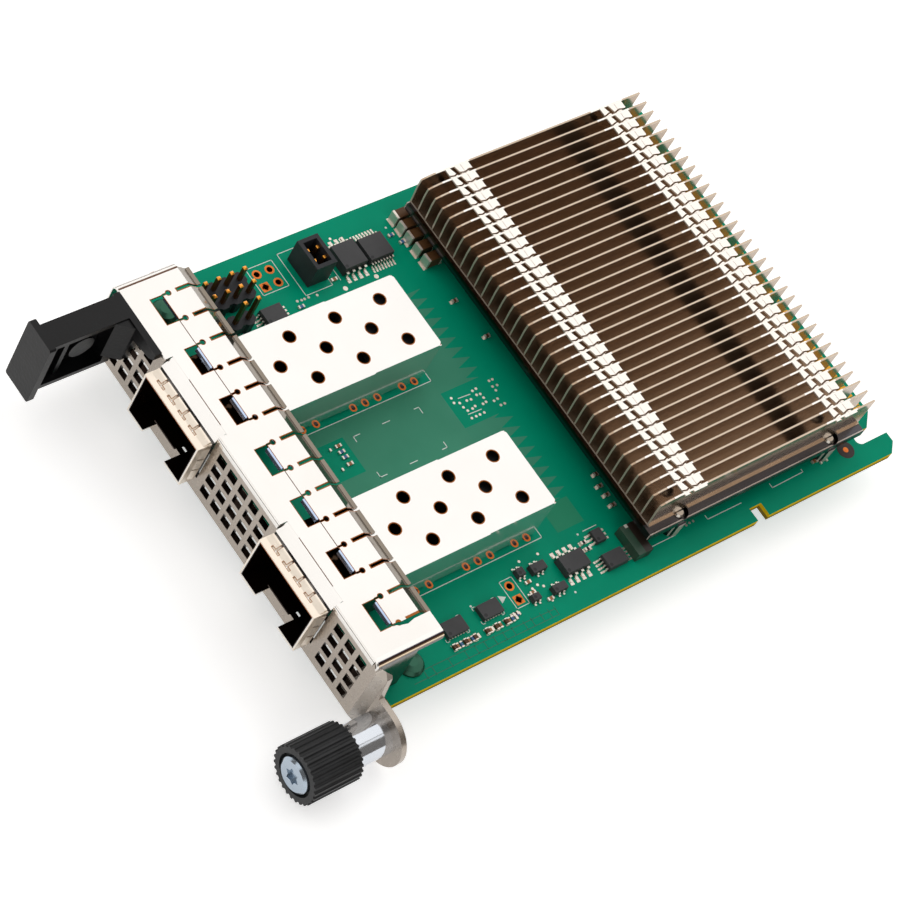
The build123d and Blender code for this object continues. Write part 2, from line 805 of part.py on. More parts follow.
# The pull tab: grip plate, recessed body, collar and base against the faceplate
tab_body_right = tab_body_left + tab_body_width
tab_body_front = tab_grip_front + tab_grip_thick
tab_middle_z = (tab_body_bottom + tab_body_top) / 2
with BuildPart() as pull_tab:
    with BuildSketch(Plane.XZ.offset(-tab_grip_front)):
        with Locations((tab_grip_left + tab_grip_width / 2, (tab_grip_bottom + tab_grip_top) / 2)):
            RectangleRounded(tab_grip_width, tab_grip_top - tab_grip_bottom, tab_corner)
    extrude(amount=-tab_grip_thick)
    with BuildSketch(Plane.XZ.offset(-tab_body_front)):
        with Locations((tab_body_left + tab_body_width / 2, tab_middle_z)):
            Rectangle(tab_body_width, tab_body_top - tab_body_bottom)
    extrude(amount=tab_body_front + tab_base_thick)
    with BuildSketch(Plane.YZ.offset(tab_body_right - tab_recess)):
        recess_front = tab_body_front + tab_wall
        recess_rear = -tab_collar - tab_wall
        with Locations(((recess_front + recess_rear) / 2, tab_middle_z)):
            Rectangle(recess_rear - recess_front, tab_body_top - tab_body_bottom - 2 * tab_wall)
    extrude(amount=tab_recess, mode=Mode.SUBTRACT)
    with BuildSketch(Plane.YZ.offset(tab_body_right - tab_recess)):
        with Locations((recess_front + tab_rib_place, tab_middle_z)):
            Rectangle(tab_rib_thick, tab_body_top - tab_body_bottom - 2 * tab_wall)
        with Locations((recess_front + tab_boss_place, tab_middle_z)):
            Circle(tab_boss_radius)
    extrude(amount=tab_recess * tab_boss_share)
    with BuildSketch(Plane.XZ.offset(tab_base_thick)):
        with BuildLine():
            Polyline(
                (tab_body_left - tab_base_margin, tab_body_bottom - tab_base_margin),
                (tab_body_right + tab_base_margin, tab_body_bottom + tab_base_shoulder),
                (tab_body_right + tab_base_step, tab_base_bottom),
                (tab_body_right + tab_base_step + tab_base_lean, tab_rail_bottom),
                (tab_base_right - tab_rail_left_drop, tab_rail_bottom + tab_rail_step),
                (tab_base_right, tab_rail_bottom + 2 * tab_rail_step),
                (tab_base_right, tab_base_top),
                (tab_body_left - tab_base_margin, tab_base_top),
                close=True,
            )
        make_face()
    extrude(amount=-tab_base_thick)
    with BuildSketch(Plane.XY.offset(tab_base_bottom)):
        with BuildLine():
            Polyline(
                (tab_body_right, -tab_gusset),
                (tab_body_right + tab_base_step, -tab_base_thick),
                (tab_body_right, -tab_base_thick),
                close=True,
            )
        make_face()
    extrude(amount=tab_body_top - tab_base_margin - tab_base_bottom)
keep(pull_tab.part, "pull_tab")

# The captive thumbscrew: sleeve pressed into the ear, screw, knob and spring
ear_rear = ear_front + plate_thick
web_rear = knob_front + knob_recess + knob_web
sleeve_front = web_rear + push_travel + push_clearance
axis_point = (screw_x, 0, screw_z)


def round_plane(y):
    """A plane across the thumbscrew's axis at one Y, drawn from the front."""
    return Plane(origin=(screw_x, y, screw_z), x_dir=(1, 0, 0), z_dir=(0, 1, 0))


with BuildPart() as thumbscrew_sleeve:
    with BuildSketch(round_plane(sleeve_front)):
        Circle(sleeve_radius)
    extrude(amount=ear_front - sleeve_front)
    with BuildSketch(round_plane(ear_front)):
        Circle(ear_bore / 2)
    extrude(amount=plate_thick)
    with BuildSketch(round_plane(sleeve_front)):
        Circle(screw_neck_radius + screw_fit)
    extrude(amount=ear_rear - sleeve_front, mode=Mode.SUBTRACT)
    with BuildSketch(round_plane(sleeve_front)):
        Circle(sleeve_spring_radius)
    extrude(amount=sleeve_web_front - sleeve_front, mode=Mode.SUBTRACT)
    with BuildSketch(round_plane(sleeve_web_rear)):
        Circle(sleeve_thread_radius)
    extrude(amount=ear_rear - sleeve_web_rear, mode=Mode.SUBTRACT)
keep(thumbscrew_sleeve.part, "thumbscrew_sleeve")

with BuildPart() as thumbscrew_knob:
    with BuildSketch(round_plane(knob_front)):
        Circle(knob_radius)
        with PolarLocations(knob_radius, knob_ribs):
            Circle(knob_rib_depth, mode=Mode.SUBTRACT)
    extrude(amount=knob_rear - knob_front)
    with BuildSketch(round_plane(knob_front)):
        Circle(knob_recess_radius)
    extrude(amount=knob_recess, mode=Mode.SUBTRACT)
    with BuildSketch(round_plane(knob_front)):
        Circle(screw_neck_radius)
    extrude(amount=knob_rear - knob_front, mode=Mode.SUBTRACT)
    with BuildSketch(round_plane(web_rear)):
        Circle(knob_bore_radius)
    extrude(amount=knob_rear - web_rear, mode=Mode.SUBTRACT)
keep(thumbscrew_knob.part, "thumbscrew_knob")

thread_start = sleeve_web_rear + screw_fit
thread_end = thread_start + screw_thread_length
neck_step = screw_thread_radius - screw_neck_radius
head_front = knob_front + knob_recess - screw_head_height
head_rear = head_front + screw_head_height
star = []
for i in range(12):
    reach = star_radius if i % 2 == 0 else star_radius * star_waist
    star.append((reach * cos(i * pi / 6), reach * sin(i * pi / 6)))
with BuildPart() as thumbscrew_screw:
    with BuildSketch(Plane(origin=axis_point, x_dir=(1, 0, 0), z_dir=(0, 0, 1))):
        with BuildLine():
            Polyline(
                (0, head_front),
                (screw_head_radius - screw_head_chamfer, head_front),
                (screw_head_radius, head_front + screw_head_chamfer),
                (screw_head_radius, head_rear),
                (screw_neck_radius, head_rear),
                (screw_neck_radius, thread_start),
                (screw_thread_radius, thread_start + neck_step),
                (screw_thread_radius, thread_end),
                (screw_thread_radius - screw_thread_chamfer, thread_end + screw_thread_chamfer),
                (0, thread_end + screw_thread_chamfer),
                close=True,
            )
        make_face()
    revolve(axis=Axis(axis_point, (0, 1, 0)))
    with BuildSketch(round_plane(head_front)):
        with BuildLine():
            Polyline(*star, close=True)
        make_face()
    extrude(amount=star_depth, mode=Mode.SUBTRACT)
keep(thumbscrew_screw.part, "thumbscrew_screw")

spring_length = sleeve_web_front - web_rear - spring_wire
with BuildPart() as thumbscrew_spring:
    with BuildLine() as coil:
        Helix(
            spring_length / spring_turns,
            spring_length,
            spring_radius,
            center=(screw_x, web_rear + spring_wire / 2, screw_z),
            direction=(0, 1, 0),
        )
    with BuildSketch(Plane(origin=coil.line @ 0, x_dir=(0, 1, 0), z_dir=coil.line % 0)):
        Rectangle(spring_wire, spring_wire)
    sweep(path=coil.line, is_frenet=True)
keep(thumbscrew_spring.part, "thumbscrew_spring")

# The heat sink: base with foot, standoffs and pockets
sink_bottom = sink_base_top - sink_base_thick
chip_top = chip_thick + pad_thick
with BuildPart() as heatsink_base:
    with BuildSketch(Plane.XY.offset(sink_bottom)):
        with Locations(((sink_left + sink_right) / 2, (sink_front + sink_rear) / 2)):
            Rectangle(sink_right - sink_left, sink_rear - sink_front)
    extrude(amount=sink_base_thick)
    with BuildSketch(Plane.XY.offset(chip_top)):
        with Locations((chip_x, chip_y)):
            Rectangle(chip_size, chip_size)
    extrude(amount=sink_bottom - chip_top)
    with BuildSketch():
        with Locations(*sink_screws):
            Circle(standoff_radius)
    extrude(amount=sink_bottom)
    with Locations(*[(x, y, sink_base_top) for x, y in sink_screws]):
        CounterBoreHole(sink_screw_radius, pocket_radius, pocket_depth)
keep(heatsink_base.part, "heatsink_base")

# The screws that come up through the board into the heat sink's standoffs
sink_screw_low = -board_thick - sink_screw_head_height
sink_screw_top = sink_base_top - sink_screw_tip
with BuildPart() as heatsink_screws:
    for x, y in sink_screws:
        with BuildSketch(Plane.XZ.offset(-y)):
            with BuildLine():
                Polyline(
                    (x, sink_screw_low),
                    (x + sink_screw_head_radius - sink_screw_chamfer, sink_screw_low),
                    (x + sink_screw_head_radius, sink_screw_low + sink_screw_chamfer),
                    (x + sink_screw_head_radius, -board_thick),
                    (x + sink_screw_radius, -board_thick),
                    (x + sink_screw_radius, sink_screw_top - sink_screw_chamfer),
                    (x + sink_screw_radius - sink_screw_chamfer, sink_screw_top),
                    (x, sink_screw_top),
                    close=True,
                )
            make_face()
        revolve(axis=Axis((x, y, 0), (0, 0, 1)))
keep(heatsink_screws.part, "heatsink_screws")

# The folded fins: each has a foot, and two rows of top tabs that reach the next fin
fin_front = sink_front + fin_front_set_back
fin_tip = fin_front - fin_lean
fin_rear = sink_rear - fin_rear_set_back
fin_next = fin_pitch - fin_gap
tab_low = fin_top - fin_sheet
with BuildPart() as fin:
    with BuildSketch(Plane.YZ.offset(sink_left)):
        with BuildLine():
            Polyline(
                (fin_front, sink_base_top),
                (fin_tip, sink_base_top + fin_lean_height),
                (fin_tip, fin_top - fin_knee_drop),
            )
            ThreePointArc(
                (fin_tip, fin_top - fin_knee_drop),
                (fin_tip + 1, fin_top - fin_knee_drop / 2),
                (zip_rows[0], fin_top),
            )
            Polyline(
                (zip_rows[0], fin_top),
                (fin_rear, fin_top),
                (fin_rear, sink_base_top),
                (fin_front, sink_base_top),
            )
        make_face()
    extrude(amount=fin_sheet)
    with BuildSketch(Plane.XY.offset(sink_base_top)):
        with Locations((sink_left + fin_next / 2, (fin_front + fin_rear) / 2)):
            Rectangle(fin_next, fin_rear - fin_front)
    extrude(amount=fin_sheet)
    for row in zip_rows:
        with BuildSketch(Plane.XY.offset(tab_low)):
            with BuildLine():
                Polyline(
                    (sink_left, row),
                    (sink_left + fin_next, row),
                    (sink_left + fin_next, row + zip_narrow_near),
                    (sink_left, row + zip_narrow_far),
                    close=True,
                )
            make_face()
            with BuildLine():
                Polyline(
                    (sink_left, row + zip_wide_far),
                    (sink_left + fin_next, row + zip_wide_near),
                    (sink_left + fin_next, row + zip_notch),
                    (sink_left + fin_next - zip_notch_width, row + zip_notch),
                    (sink_left + fin_next - zip_notch_width, row + zip_rear),
                    (sink_left, row + zip_rear),
                    close=True,
                )
            make_face()
        extrude(amount=fin_sheet)
        with BuildSketch(Plane.YZ.offset(sink_left + zip_flap_margin)):
            flap_front = row + zip_narrow_far
            with BuildLine():
                Polyline(
                    (flap_front, tab_low + fin_sheet / 2),
                    (flap_front, tab_low),
                    (flap_front + zip_flap_reach, tab_low - zip_flap_drop),
                    (flap_front + 2 * zip_flap_reach, tab_low - zip_flap_drop),
                    close=True,
                )
            make_face()
        extrude(amount=fin_next - zip_flap_margin)
        with BuildSketch(Plane.XY.offset(fin_top - zip_seam_depth)):
            with Locations((sink_left + fin_sheet + fin_next / 2, row + zip_seam)):
                Rectangle(fin_next, zip_seam_width)
        extrude(amount=zip_seam_depth, mode=Mode.SUBTRACT)


def trimmed_fin(x):
    """A copy of the fin that leaves the screw pockets clear and ends inside the base."""
    with BuildPart() as cut_fin:
        add(fin.part.moved(Location((x - sink_left, 0, 0))))
        with BuildSketch(Plane.XY.offset(sink_base_top)):
            with Locations(*sink_screws):
                Circle(pocket_radius)
        extrude(amount=fin_sheet, mode=Mode.SUBTRACT)
        with BuildSketch(Plane.XY.offset(sink_base_top)):
            with Locations((fin_x[-1] + fin_last_foot + fin_pitch / 2, (fin_front + fin_rear) / 2)):
                Rectangle(fin_pitch, fin_rear - fin_front)
        extrude(amount=fin_top - sink_base_top, mode=Mode.SUBTRACT)
    return cut_fin.part.solid()


fins = [fin.part.solid().moved(Location((x - sink_left, 0, 0))) for x in fin_x[2:-2]]
fins += [trimmed_fin(x) for x in fin_x[:2] + fin_x[-2:]]
keep(Compound(fins), "heatsink_fins")

with BuildPart() as controller_chip:
    with BuildSketch():
        with Locations((chip_x, chip_y)):
            Rectangle(chip_size + 2 * chip_substrate_margin, chip_size + 2 * chip_substrate_margin)
    extrude(amount=chip_substrate)
    with BuildSketch(Plane.XY.offset(chip_substrate)):
        with Locations((chip_x, chip_y)):
            Rectangle(chip_size - 2 * chip_lid_margin, chip_size - 2 * chip_lid_margin)
    extrude(amount=chip_thick - chip_substrate)
keep(controller_chip.part, "controller_chip")

with BuildPart() as thermal_pad:
    with BuildSketch(Plane.XY.offset(chip_thick)):
        with Locations((chip_x, chip_y)):
            Rectangle(chip_size - 2 * pad_margin, chip_size - 2 * pad_margin)
    extrude(amount=pad_thick)
keep(thermal_pad.part, "thermal_pad")


def moulded_chip(box, height, count, pitch, along, reach):
    """A moulded body with two rows of bent leads; box is left, right, front and rear."""
    left, right, front, rear = box
    middle_x = (left + right) / 2
    middle_y = (front + rear) / 2
    span = (right - left if along == "y" else rear - front) / 2
    shoulder = height * lead_shoulder_share
    bend = span + reach * lead_bend_share
    lead_width = pitch * lead_share
    levels = (
        (bend - lead_thick, span + reach, 0, lead_thick),
        (bend - lead_thick, bend, 0, shoulder),
        (span - lead_root, bend, shoulder - lead_thick, shoulder),
    )
    with BuildPart() as body:
        with BuildSketch(Plane.XY.offset(chip_stand_off)):
            with Locations((middle_x, middle_y)):
                Rectangle(right - left, rear - front)
        extrude(amount=height - chip_stand_off, taper=chip_draft)
        for inner, outer, low, high in levels:
            with BuildSketch(Plane.XY.offset(low)):
                for side in (-1, 1):
                    shift = side * (inner + outer) / 2
                    if along == "y":
                        with Locations((middle_x + shift, middle_y)):
                            with GridLocations(1, pitch, 1, count):
                                Rectangle(outer - inner, lead_width)
                    else:
                        with Locations((middle_x, middle_y + shift)):
                            with GridLocations(pitch, 1, count, 1):
                                Rectangle(lead_width, outer - inner)
            extrude(amount=high - low)
    return body.part


# Chips with leads, each a box of left, right, front and rear, then height and leads
far = -edge
near = edge
leaded_chips = {
    "driver_chip": ((far + 5.2, far + 10.0, 43.7, 48.4), 1.9, 4, 1.2, "y", 1.1),
    "logic_chip": ((far + 5.7, far + 10.1, 49.0, 53.9), 1.6, 8, 0.6, "y", 1.0),
    "supervisor_chip": ((far + 10.5, far + 13.5, 26.0, 30.0), 1.4, 4, 0.65, "x", 0.8),
    "memory_chip": ((near - 8.7, near - 5.5, 44.5, 49.4), 1.5, 4, 1.25, "y", 1.0),
    "sensor_chip": ((near - 10.4, near - 8.1, 53.0, 55.0), 0.9, 3, 0.75, "x", 0.55),
    "regulator_chip": ((near - 6.1, near - 3.4, 51.9, 55.9), 1.2, 4, 0.65, "x", 0.9),
}
for name, sizes in leaded_chips.items():
    keep(moulded_chip(*sizes), name)

transistor_boxes = (
    (near - 10.1, near - 8.7, 37.0, 38.5),
    (near - 9.7, near - 8.1, 39.6, 42.5),
    (near - 5.4, near - 4.2, 36.7, 38.3),
    (near - 5.2, near - 3.8, 40.8, 43.5),
)
transistor_leads = (2, transistor_lead_pitch, "y", transistor_lead_reach)
transistors = [moulded_chip(box, transistor_height, *transistor_leads) for box in transistor_boxes]
keep(Compound([transistor.solid() for transistor in transistors]), "transistors")


def blocks(name, boxes, height):
    """A group of plain ceramic or moulded blocks that stand on the board."""
    with BuildPart() as group:
        with BuildSketch():
            for left, right, front, rear in boxes:
                with Locations(((left + right) / 2, (front + rear) / 2)):
                    Rectangle(right - left, rear - front)
        extrude(amount=height)
    keep(group.part, name)


power_switch_boxes = ((near - 7.6, near - 5.1, 27.4, 31.3), (near - 7.6, near - 5.0, 20.2, 24.2))
blocks("power_switches", power_switch_boxes, switch_height)
capacitor_left = [far + inset for inset in (3.7, 5.8, 7.9, 10.3, 12.7)]
capacitor_boxes = [(x, x + capacitor_width, capacitor_front, capacitor_rear) for x in capacitor_left]
blocks("ceramic_capacitors", capacitor_boxes, capacitor_height)
blocks("power_inductor", [(near - 8.5, near - 3.0, 57.2, 60.2)], inductor_height)


def around(points, along_x, along_y):
    """Boxes of one size round a list of points."""
    return [(x - along_x / 2, x + along_x / 2, y - along_y / 2, y + along_y / 2) for x, y in points]


edge_capacitor_y = (20.4, 22.6, 24.5, 26.9, 28.8, 30.8)
edge_capacitors = [(near - 3.5, y) for y in edge_capacitor_y]
middle_capacitors = [(19.5, 61.0), (21.5, 60.2), (23.3, 60.3), (25.2, 60.1), (-16.7, 58.6), (-9.0, 59.7)]
long_way, short_way = small_part
small_boxes = around(edge_capacitors, long_way, short_way) + around(middle_capacitors, short_way, long_way)
blocks("small_capacitors", small_boxes, small_capacitor_height)
resistor_points = [(near - 4.0, 33.0), (near - 9.4, 51.2), (near - 8.2, 51.2)]
resistor_points += [(far + 14.6, 47.3), (far + 14.6, 49.0)]
blocks("resistors", around(resistor_points, short_way, long_way), resistor_height)

# Pin headers: a black body and its square pins, which go down through the board
pin_low = -board_thick - pin_tail


def header(name, points, columns, rows, pitch, body_height, tip, pin):
    """A pin header's body and pins, from the grid of its holes."""
    middle_x = sum(x for x, y in points) / len(points)
    middle_y = sum(y for x, y in points) / len(points)
    with BuildPart() as body:
        with BuildSketch():
            with Locations((middle_x, middle_y)):
                with GridLocations(pitch, pitch, columns, rows):
                    RegularPolygon(pitch / 2, 8, major_radius=False, rotation=22.5)
                Rectangle(columns * pitch - header_waist, rows * pitch - header_waist)
            with Locations(*points):
                Rectangle(pin, pin, mode=Mode.SUBTRACT)
        extrude(amount=body_height)
    keep(body.part, name)
    with BuildPart() as pins:
        with BuildSketch(Plane.XY.offset(pin_low)):
            with Locations(*points):
                Rectangle(pin, pin)
        extrude(amount=tip - pin_low)
        chamfer(pins.faces().filter_by(Axis.Z).group_by(Axis.Z)[-1].edges(), pin_chamfer)
    keep(pins.part, f"{name}_pins")


header("pin_header_8", header_8_pins, 2, 4, pin_pitch, header_height, header_8_tip, pin_size)
header("pin_header_2", header_2_pins, 1, 2, pin_pitch, header_height, header_2_tip, pin_size)

with BuildPart() as box_header:
    with BuildSketch():
        with Locations(box_xy):
            Rectangle(box_width, box_depth)
        with Locations(*box_pins):
            Rectangle(box_pin, box_pin, mode=Mode.SUBTRACT)
    extrude(amount=box_height)
    with BuildSketch(Plane.XY.offset(box_floor)):
        with Locations(box_xy):
            Rectangle(box_width - 2 * box_wall, box_depth - 2 * box_wall)
    extrude(amount=box_height - box_floor, mode=Mode.SUBTRACT)
keep(box_header.part, "box_header")
with BuildPart() as box_header_pins:
    with BuildSketch(Plane.XY.offset(pin_low)):
        with Locations(*box_pins):
            Rectangle(box_pin, box_pin)
    extrude(amount=box_height - box_pin_drop - pin_low)
keep(box_header_pins.part, "box_header_pins")
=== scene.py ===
import math

import bmesh
import bpy
from mathutils import Matrix, Vector


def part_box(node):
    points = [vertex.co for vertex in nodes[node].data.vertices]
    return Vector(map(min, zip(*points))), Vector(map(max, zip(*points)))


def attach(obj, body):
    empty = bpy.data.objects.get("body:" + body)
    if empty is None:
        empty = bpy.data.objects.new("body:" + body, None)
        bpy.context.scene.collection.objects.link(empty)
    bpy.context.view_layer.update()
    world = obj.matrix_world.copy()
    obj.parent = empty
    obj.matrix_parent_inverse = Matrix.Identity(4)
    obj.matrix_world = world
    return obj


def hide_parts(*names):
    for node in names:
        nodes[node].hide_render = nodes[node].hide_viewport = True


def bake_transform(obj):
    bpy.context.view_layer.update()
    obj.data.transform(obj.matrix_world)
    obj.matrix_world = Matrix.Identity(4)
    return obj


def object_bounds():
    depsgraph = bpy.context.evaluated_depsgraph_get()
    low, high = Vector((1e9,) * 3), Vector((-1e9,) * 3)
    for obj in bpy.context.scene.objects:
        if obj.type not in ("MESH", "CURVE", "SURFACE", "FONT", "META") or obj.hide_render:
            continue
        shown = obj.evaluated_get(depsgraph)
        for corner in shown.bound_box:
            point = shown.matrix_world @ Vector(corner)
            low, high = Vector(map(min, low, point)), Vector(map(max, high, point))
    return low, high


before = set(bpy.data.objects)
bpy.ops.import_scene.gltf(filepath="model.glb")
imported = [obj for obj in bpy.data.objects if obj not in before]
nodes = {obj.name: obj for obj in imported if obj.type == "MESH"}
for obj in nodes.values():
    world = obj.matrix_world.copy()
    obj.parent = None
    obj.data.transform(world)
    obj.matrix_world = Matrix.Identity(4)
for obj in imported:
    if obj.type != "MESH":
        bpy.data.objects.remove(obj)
cad_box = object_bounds()
mm = 0.001
full_turn = 2 * math.pi

# The photograph's camera, fitted to the card's corners
camera_place = Vector((151.46, -261.88, 416.98)) * mm
camera_right = Vector((0.5589, 0.7546, 0.3437))
camera_down = Vector((0.7806, -0.3389, -0.5252))
camera_forward = Vector((-0.2798, 0.5618, -0.7785))
focal_pixels = 3469.2
image_pixels = 900
middle_pixel = (425.2, 433.05)
sensor_mm = 36.0
nearest_seen = 0.02


class Shade:
    """An output socket of a material's nodes. Arithmetic on it adds Math nodes."""

    # A Mix node's sockets for its two ends and its result
    mix_sockets = {"RGBA": (6, 7, 2), "FLOAT": (2, 3, 0)}

    def __init__(self, tree, socket=None):
        self.tree = tree
        self.socket = socket

    def node(self, kind, settings=None, inputs=None, out=0):
        """Adds a node with its settings and its sockets' values or links."""
        made = self.tree.nodes.new(kind)
        for key, value in (settings or {}).items():
            if key == "stops":
                ramp = made.color_ramp
                while len(ramp.elements) < len(value):
                    ramp.elements.new(0.5)
                for element, (place, colour) in zip(ramp.elements, value):
                    element.position = place
                    element.color = colour
            else:
                setattr(made, key, value)
        for key, value in (inputs or {}).items():
            if isinstance(value, Shade):
                self.tree.links.new(value.socket, made.inputs[key])
            else:
                made.inputs[key].default_value = value
        return Shade(self.tree, made.outputs[out])

    def maths(self, operation, first, second=0.0):
        return self.node("ShaderNodeMath", {"operation": operation}, {0: first, 1: second})

    def __add__(self, other):
        return self.maths("ADD", self, other)

    __radd__ = __add__

    def __sub__(self, other):
        return self.maths("SUBTRACT", self, other)

    def __rsub__(self, other):
        return self.maths("SUBTRACT", other, self)

    def __mul__(self, other):
        return self.maths("MULTIPLY", self, other)

    __rmul__ = __mul__

    def __truediv__(self, other):
        return self.maths("DIVIDE", self, other)

    def __pow__(self, power):
        return self.maths("POWER", self, power)

    def __gt__(self, other):
        return self.maths("GREATER_THAN", self, other)

    def __lt__(self, other):
        return self.maths("LESS_THAN", self, other)

    def __abs__(self):
        return self.maths("ABSOLUTE", self)

    def between(self, low, high):
        """1 between two limits, and 0 beyond them."""
        return (self > low) * (self < high)

    def least(self, other):
        """The smaller of two values."""
        return self.maths("MINIMUM", self, other)

    def fraction(self):
        """What is left after the whole steps."""
        return self.maths("FRACT", self)

    def to_and_fro(self, reach):
        """How far it is from the nearest of a row of places that stand twice the reach apart."""
        return self.maths("PINGPONG", self, reach)

    def mix(self, first, second, kind="RGBA"):
        """Goes from the first end to the second as this value goes from 0 to 1."""
        first_key, second_key, out = self.mix_sockets[kind]
        settings = {"data_type": kind, "clamp_factor": True}
        return self.node("ShaderNodeMix", settings, {0: self, first_key: first, second_key: second}, out)


def srgb(red, green, blue):
    """A colour written as it shows on screen, from 0 to 255, for a shader's socket."""
    def linear(value):
        value = value / 255
        return value / 12.92 if value <= 0.04045 else ((value + 0.055) / 1.055) ** 2.4
    return (linear(red), linear(green), linear(blue), 1.0)


def material(name):
    """A new material, its shader, and the object coordinates that its patterns follow."""
    made = bpy.data.materials.new(name)
    made.use_nodes = True
    shader = made.node_tree.nodes["Principled BSDF"]
    return made, shader, Shade(made.node_tree).node("ShaderNodeTexCoord", out="Object")


def plug(shader, key, value):
    """Sets a shader's socket, or links a value that varies over the surface."""
    if isinstance(value, Shade):
        value.tree.links.new(value.socket, shader.inputs[key])
    else:
        shader.inputs[key].default_value = value


def noise(place, scale, detail=3.0):
    """A cloud of values from 0 to 1, whose scale is in clouds to the metre."""
    inputs = {"Vector": place, "Scale": scale, "Detail": detail, "Roughness": 0.55}
    return place.node("ShaderNodeTexNoise", None, inputs)


def drawn_out(place, along):
    """Coordinates whose patterns run lengthwise, as marks of rolling and milling do."""
    return place.node("ShaderNodeMapping", None, {"Vector": place, "Scale": (1, along, 1)})


def relief(shader, height, depth):
    """A fine relief, a tenth of a millimetre high at a depth of 1."""
    inputs = {"Height": height, "Strength": depth, "Distance": 0.1 * mm}
    plug(shader, "Normal", height.node("ShaderNodeBump", None, inputs))


def wear(shader, grain, spread, smoothest, depth):
    """Roughness that goes up from the smoothest spots, and a relief, both from one grain."""
    plug(shader, "Roughness", grain * spread + smoothest)
    relief(shader, grain, depth)


def parts(vector):
    """A vector's x, y and z."""
    return [vector.node("ShaderNodeSeparateXYZ", None, {0: vector}, out=index) for index in range(3)]


def axes(place):
    """Object coordinates in millimetres, one value for each axis."""
    settings = {"operation": "SCALE"}
    return parts(place.node("ShaderNodeVectorMath", settings, {0: place, "Scale": 1 / mm}))


def normals(place):
    """The surface's own direction, one value for each axis."""
    return parts(place.node("ShaderNodeNewGeometry", out="Normal"))


def inside(plan, left, right, front, rear):
    """1 inside a rectangle of the card's plan, and 0 outside it."""
    return plan[0].between(left, right) * plan[1].between(front, rear)


def sheet_metal(name, colour, dark, rough, marks=None, dull=None):
    """Bare or plated sheet with a slow change of tone and fine scuffs in its gloss. The marks
    paint light into its colour: shade on its edges and shaded parts, and highlights and reflections. It
    shines little where it is dull."""
    made, shader, place = material(name)
    scuffs = noise(place, 900, 4)
    shown = noise(place, 60).mix(colour, dark)
    if marks:
        shown = marks(axes(place), normals(place), shown)
    plug(shader, "Base Color", shown)
    wear(shader, scuffs, spread=0.16, smoothest=rough - 0.08, depth=0.06)
    metallic = 0.86
    if dull:
        metallic = metallic - dull(axes(place)) * 0.66
    plug(shader, "Metallic", metallic)
    return made


def moulding(name, colour, worn, rough):
    """Moulded plastic, rubber or ceramic with a fine grain and paler handled spots."""
    made, shader, place = material(name)
    spots = noise(place, 180)
    plug(shader, "Base Color", (spots * 1.6 - 0.5).mix(colour, worn))
    plug(shader, "Roughness", spots * 0.2 + (rough - 0.1))
    relief(shader, noise(place, 1500, 2), 0.25)
    plug(shader, "Specular IOR Level", 0.22)
    return made


def painted(name, colour, worn, rough, metallic=0.0):
    """Ink, copper or tin: a thin print whose tone and gloss vary a little."""
    made, shader, place = material(name)
    cloud = noise(place, 500)
    plug(shader, "Base Color", cloud.mix(colour, worn))
    wear(shader, cloud, spread=0.15, smoothest=rough - 0.07, depth=0.1)
    plug(shader, "Metallic", metallic)
    return made


def millimetres(box):
    """A box's low and high corner in millimetres, in which every length below is written."""
    return [corner / mm for corner in box]


# Places of the solids that the finishes and the added pieces follow
board_back = millimetres(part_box("circuit_board"))[0].z
strip_top = millimetres(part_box("emi_strip"))[1].z
sink_side = millimetres(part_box("heatsink_base"))[1].x
cage_middles = []
for i in (1, 2):
    low, high = millimetres(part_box(f"module_cage_{i}"))
    cage_middles.append((low.x + high.x) / 2)

# Tones that several finishes have: painted shade in brown on cut edges and round openings, and painted
# shade under things
edge_shade_brown = srgb(150, 88, 38)
shade_brown = srgb(58, 42, 28)

# The faceplate: its thickness, the reach of its vents, and the step to the thumbscrew's ear. The
# skin keeps the painted shade of the walls off the faces.
plate_deep, wall_skin, face_skin = 1.0, 0.05, 0.02
vents_side, vents_top = 33.0, 10.4
step_left, step_right, step_deep = 35.4, 37.2, 2.0


def ear_step(place):
    """1 on the step between the faceplate and its ear, which has a duller surface."""
    x, y, _ = place
    return x.between(step_left, step_right) * y.between(face_skin, step_deep - face_skin)


def plate_painted_light(place, normal, shown):
    """Painted shade on the rear face and the vents' walls, which stand in the dark of the card's front end,
    and painted light on the paler step.
    """
    x, y, z = place
    behind = (normal[1] > 0.5) * (x < step_left + 0.2)
    walls = (abs(normal[1]) < 0.3) * y.between(wall_skin, plate_deep - wall_skin)
    walls = walls * (z < vents_top) * (abs(x) < vents_side)
    # Painted light: the step to the ear gets a paler colour in place of the light that falls on it
    shown = ear_step(place).mix(shown, srgb(232, 222, 210))
    # Painted shade on the rear face and the vents' walls
    return (behind + walls).mix(shown, srgb(40, 28, 20))


# The strip's windows, with a keyhole and then a slit behind each of their rear corners
window_pitch, first_window = 9.5, -28.75
window_half, window_front, window_rear = 2.5, 3.6, 6.1
slit_aside, slit_half, slit_front, slit_rear = 2.4, 0.38, 8.52, 13.4
keyhole_half, keyhole_front, keyhole_rear, keyhole_square = 0.2, 6.0, 7.1, 0.27
# Its flat top with its cut edges, the slope at its rear, and the fold at its side
flat_front, flat_rear, slope_front, strip_edge = 2.0, 12.0, 11.2, 0.27
lips_rear, rims_front = 8.0, 3.0
fold_side, rolled_side, rolled_front, fold_deep = 33.4, 34.0, 0.3, 1.5
# Painted reflection of the room in the rolled fold, from its top round to its side
fold_painted_reflection = [
    (0.0, srgb(240, 237, 232)), (0.3, srgb(240, 237, 232)), (0.45, srgb(24, 34, 62)),
    (0.62, srgb(104, 62, 34)), (0.84, srgb(246, 222, 190)), (1.0, srgb(40, 40, 52)),
]


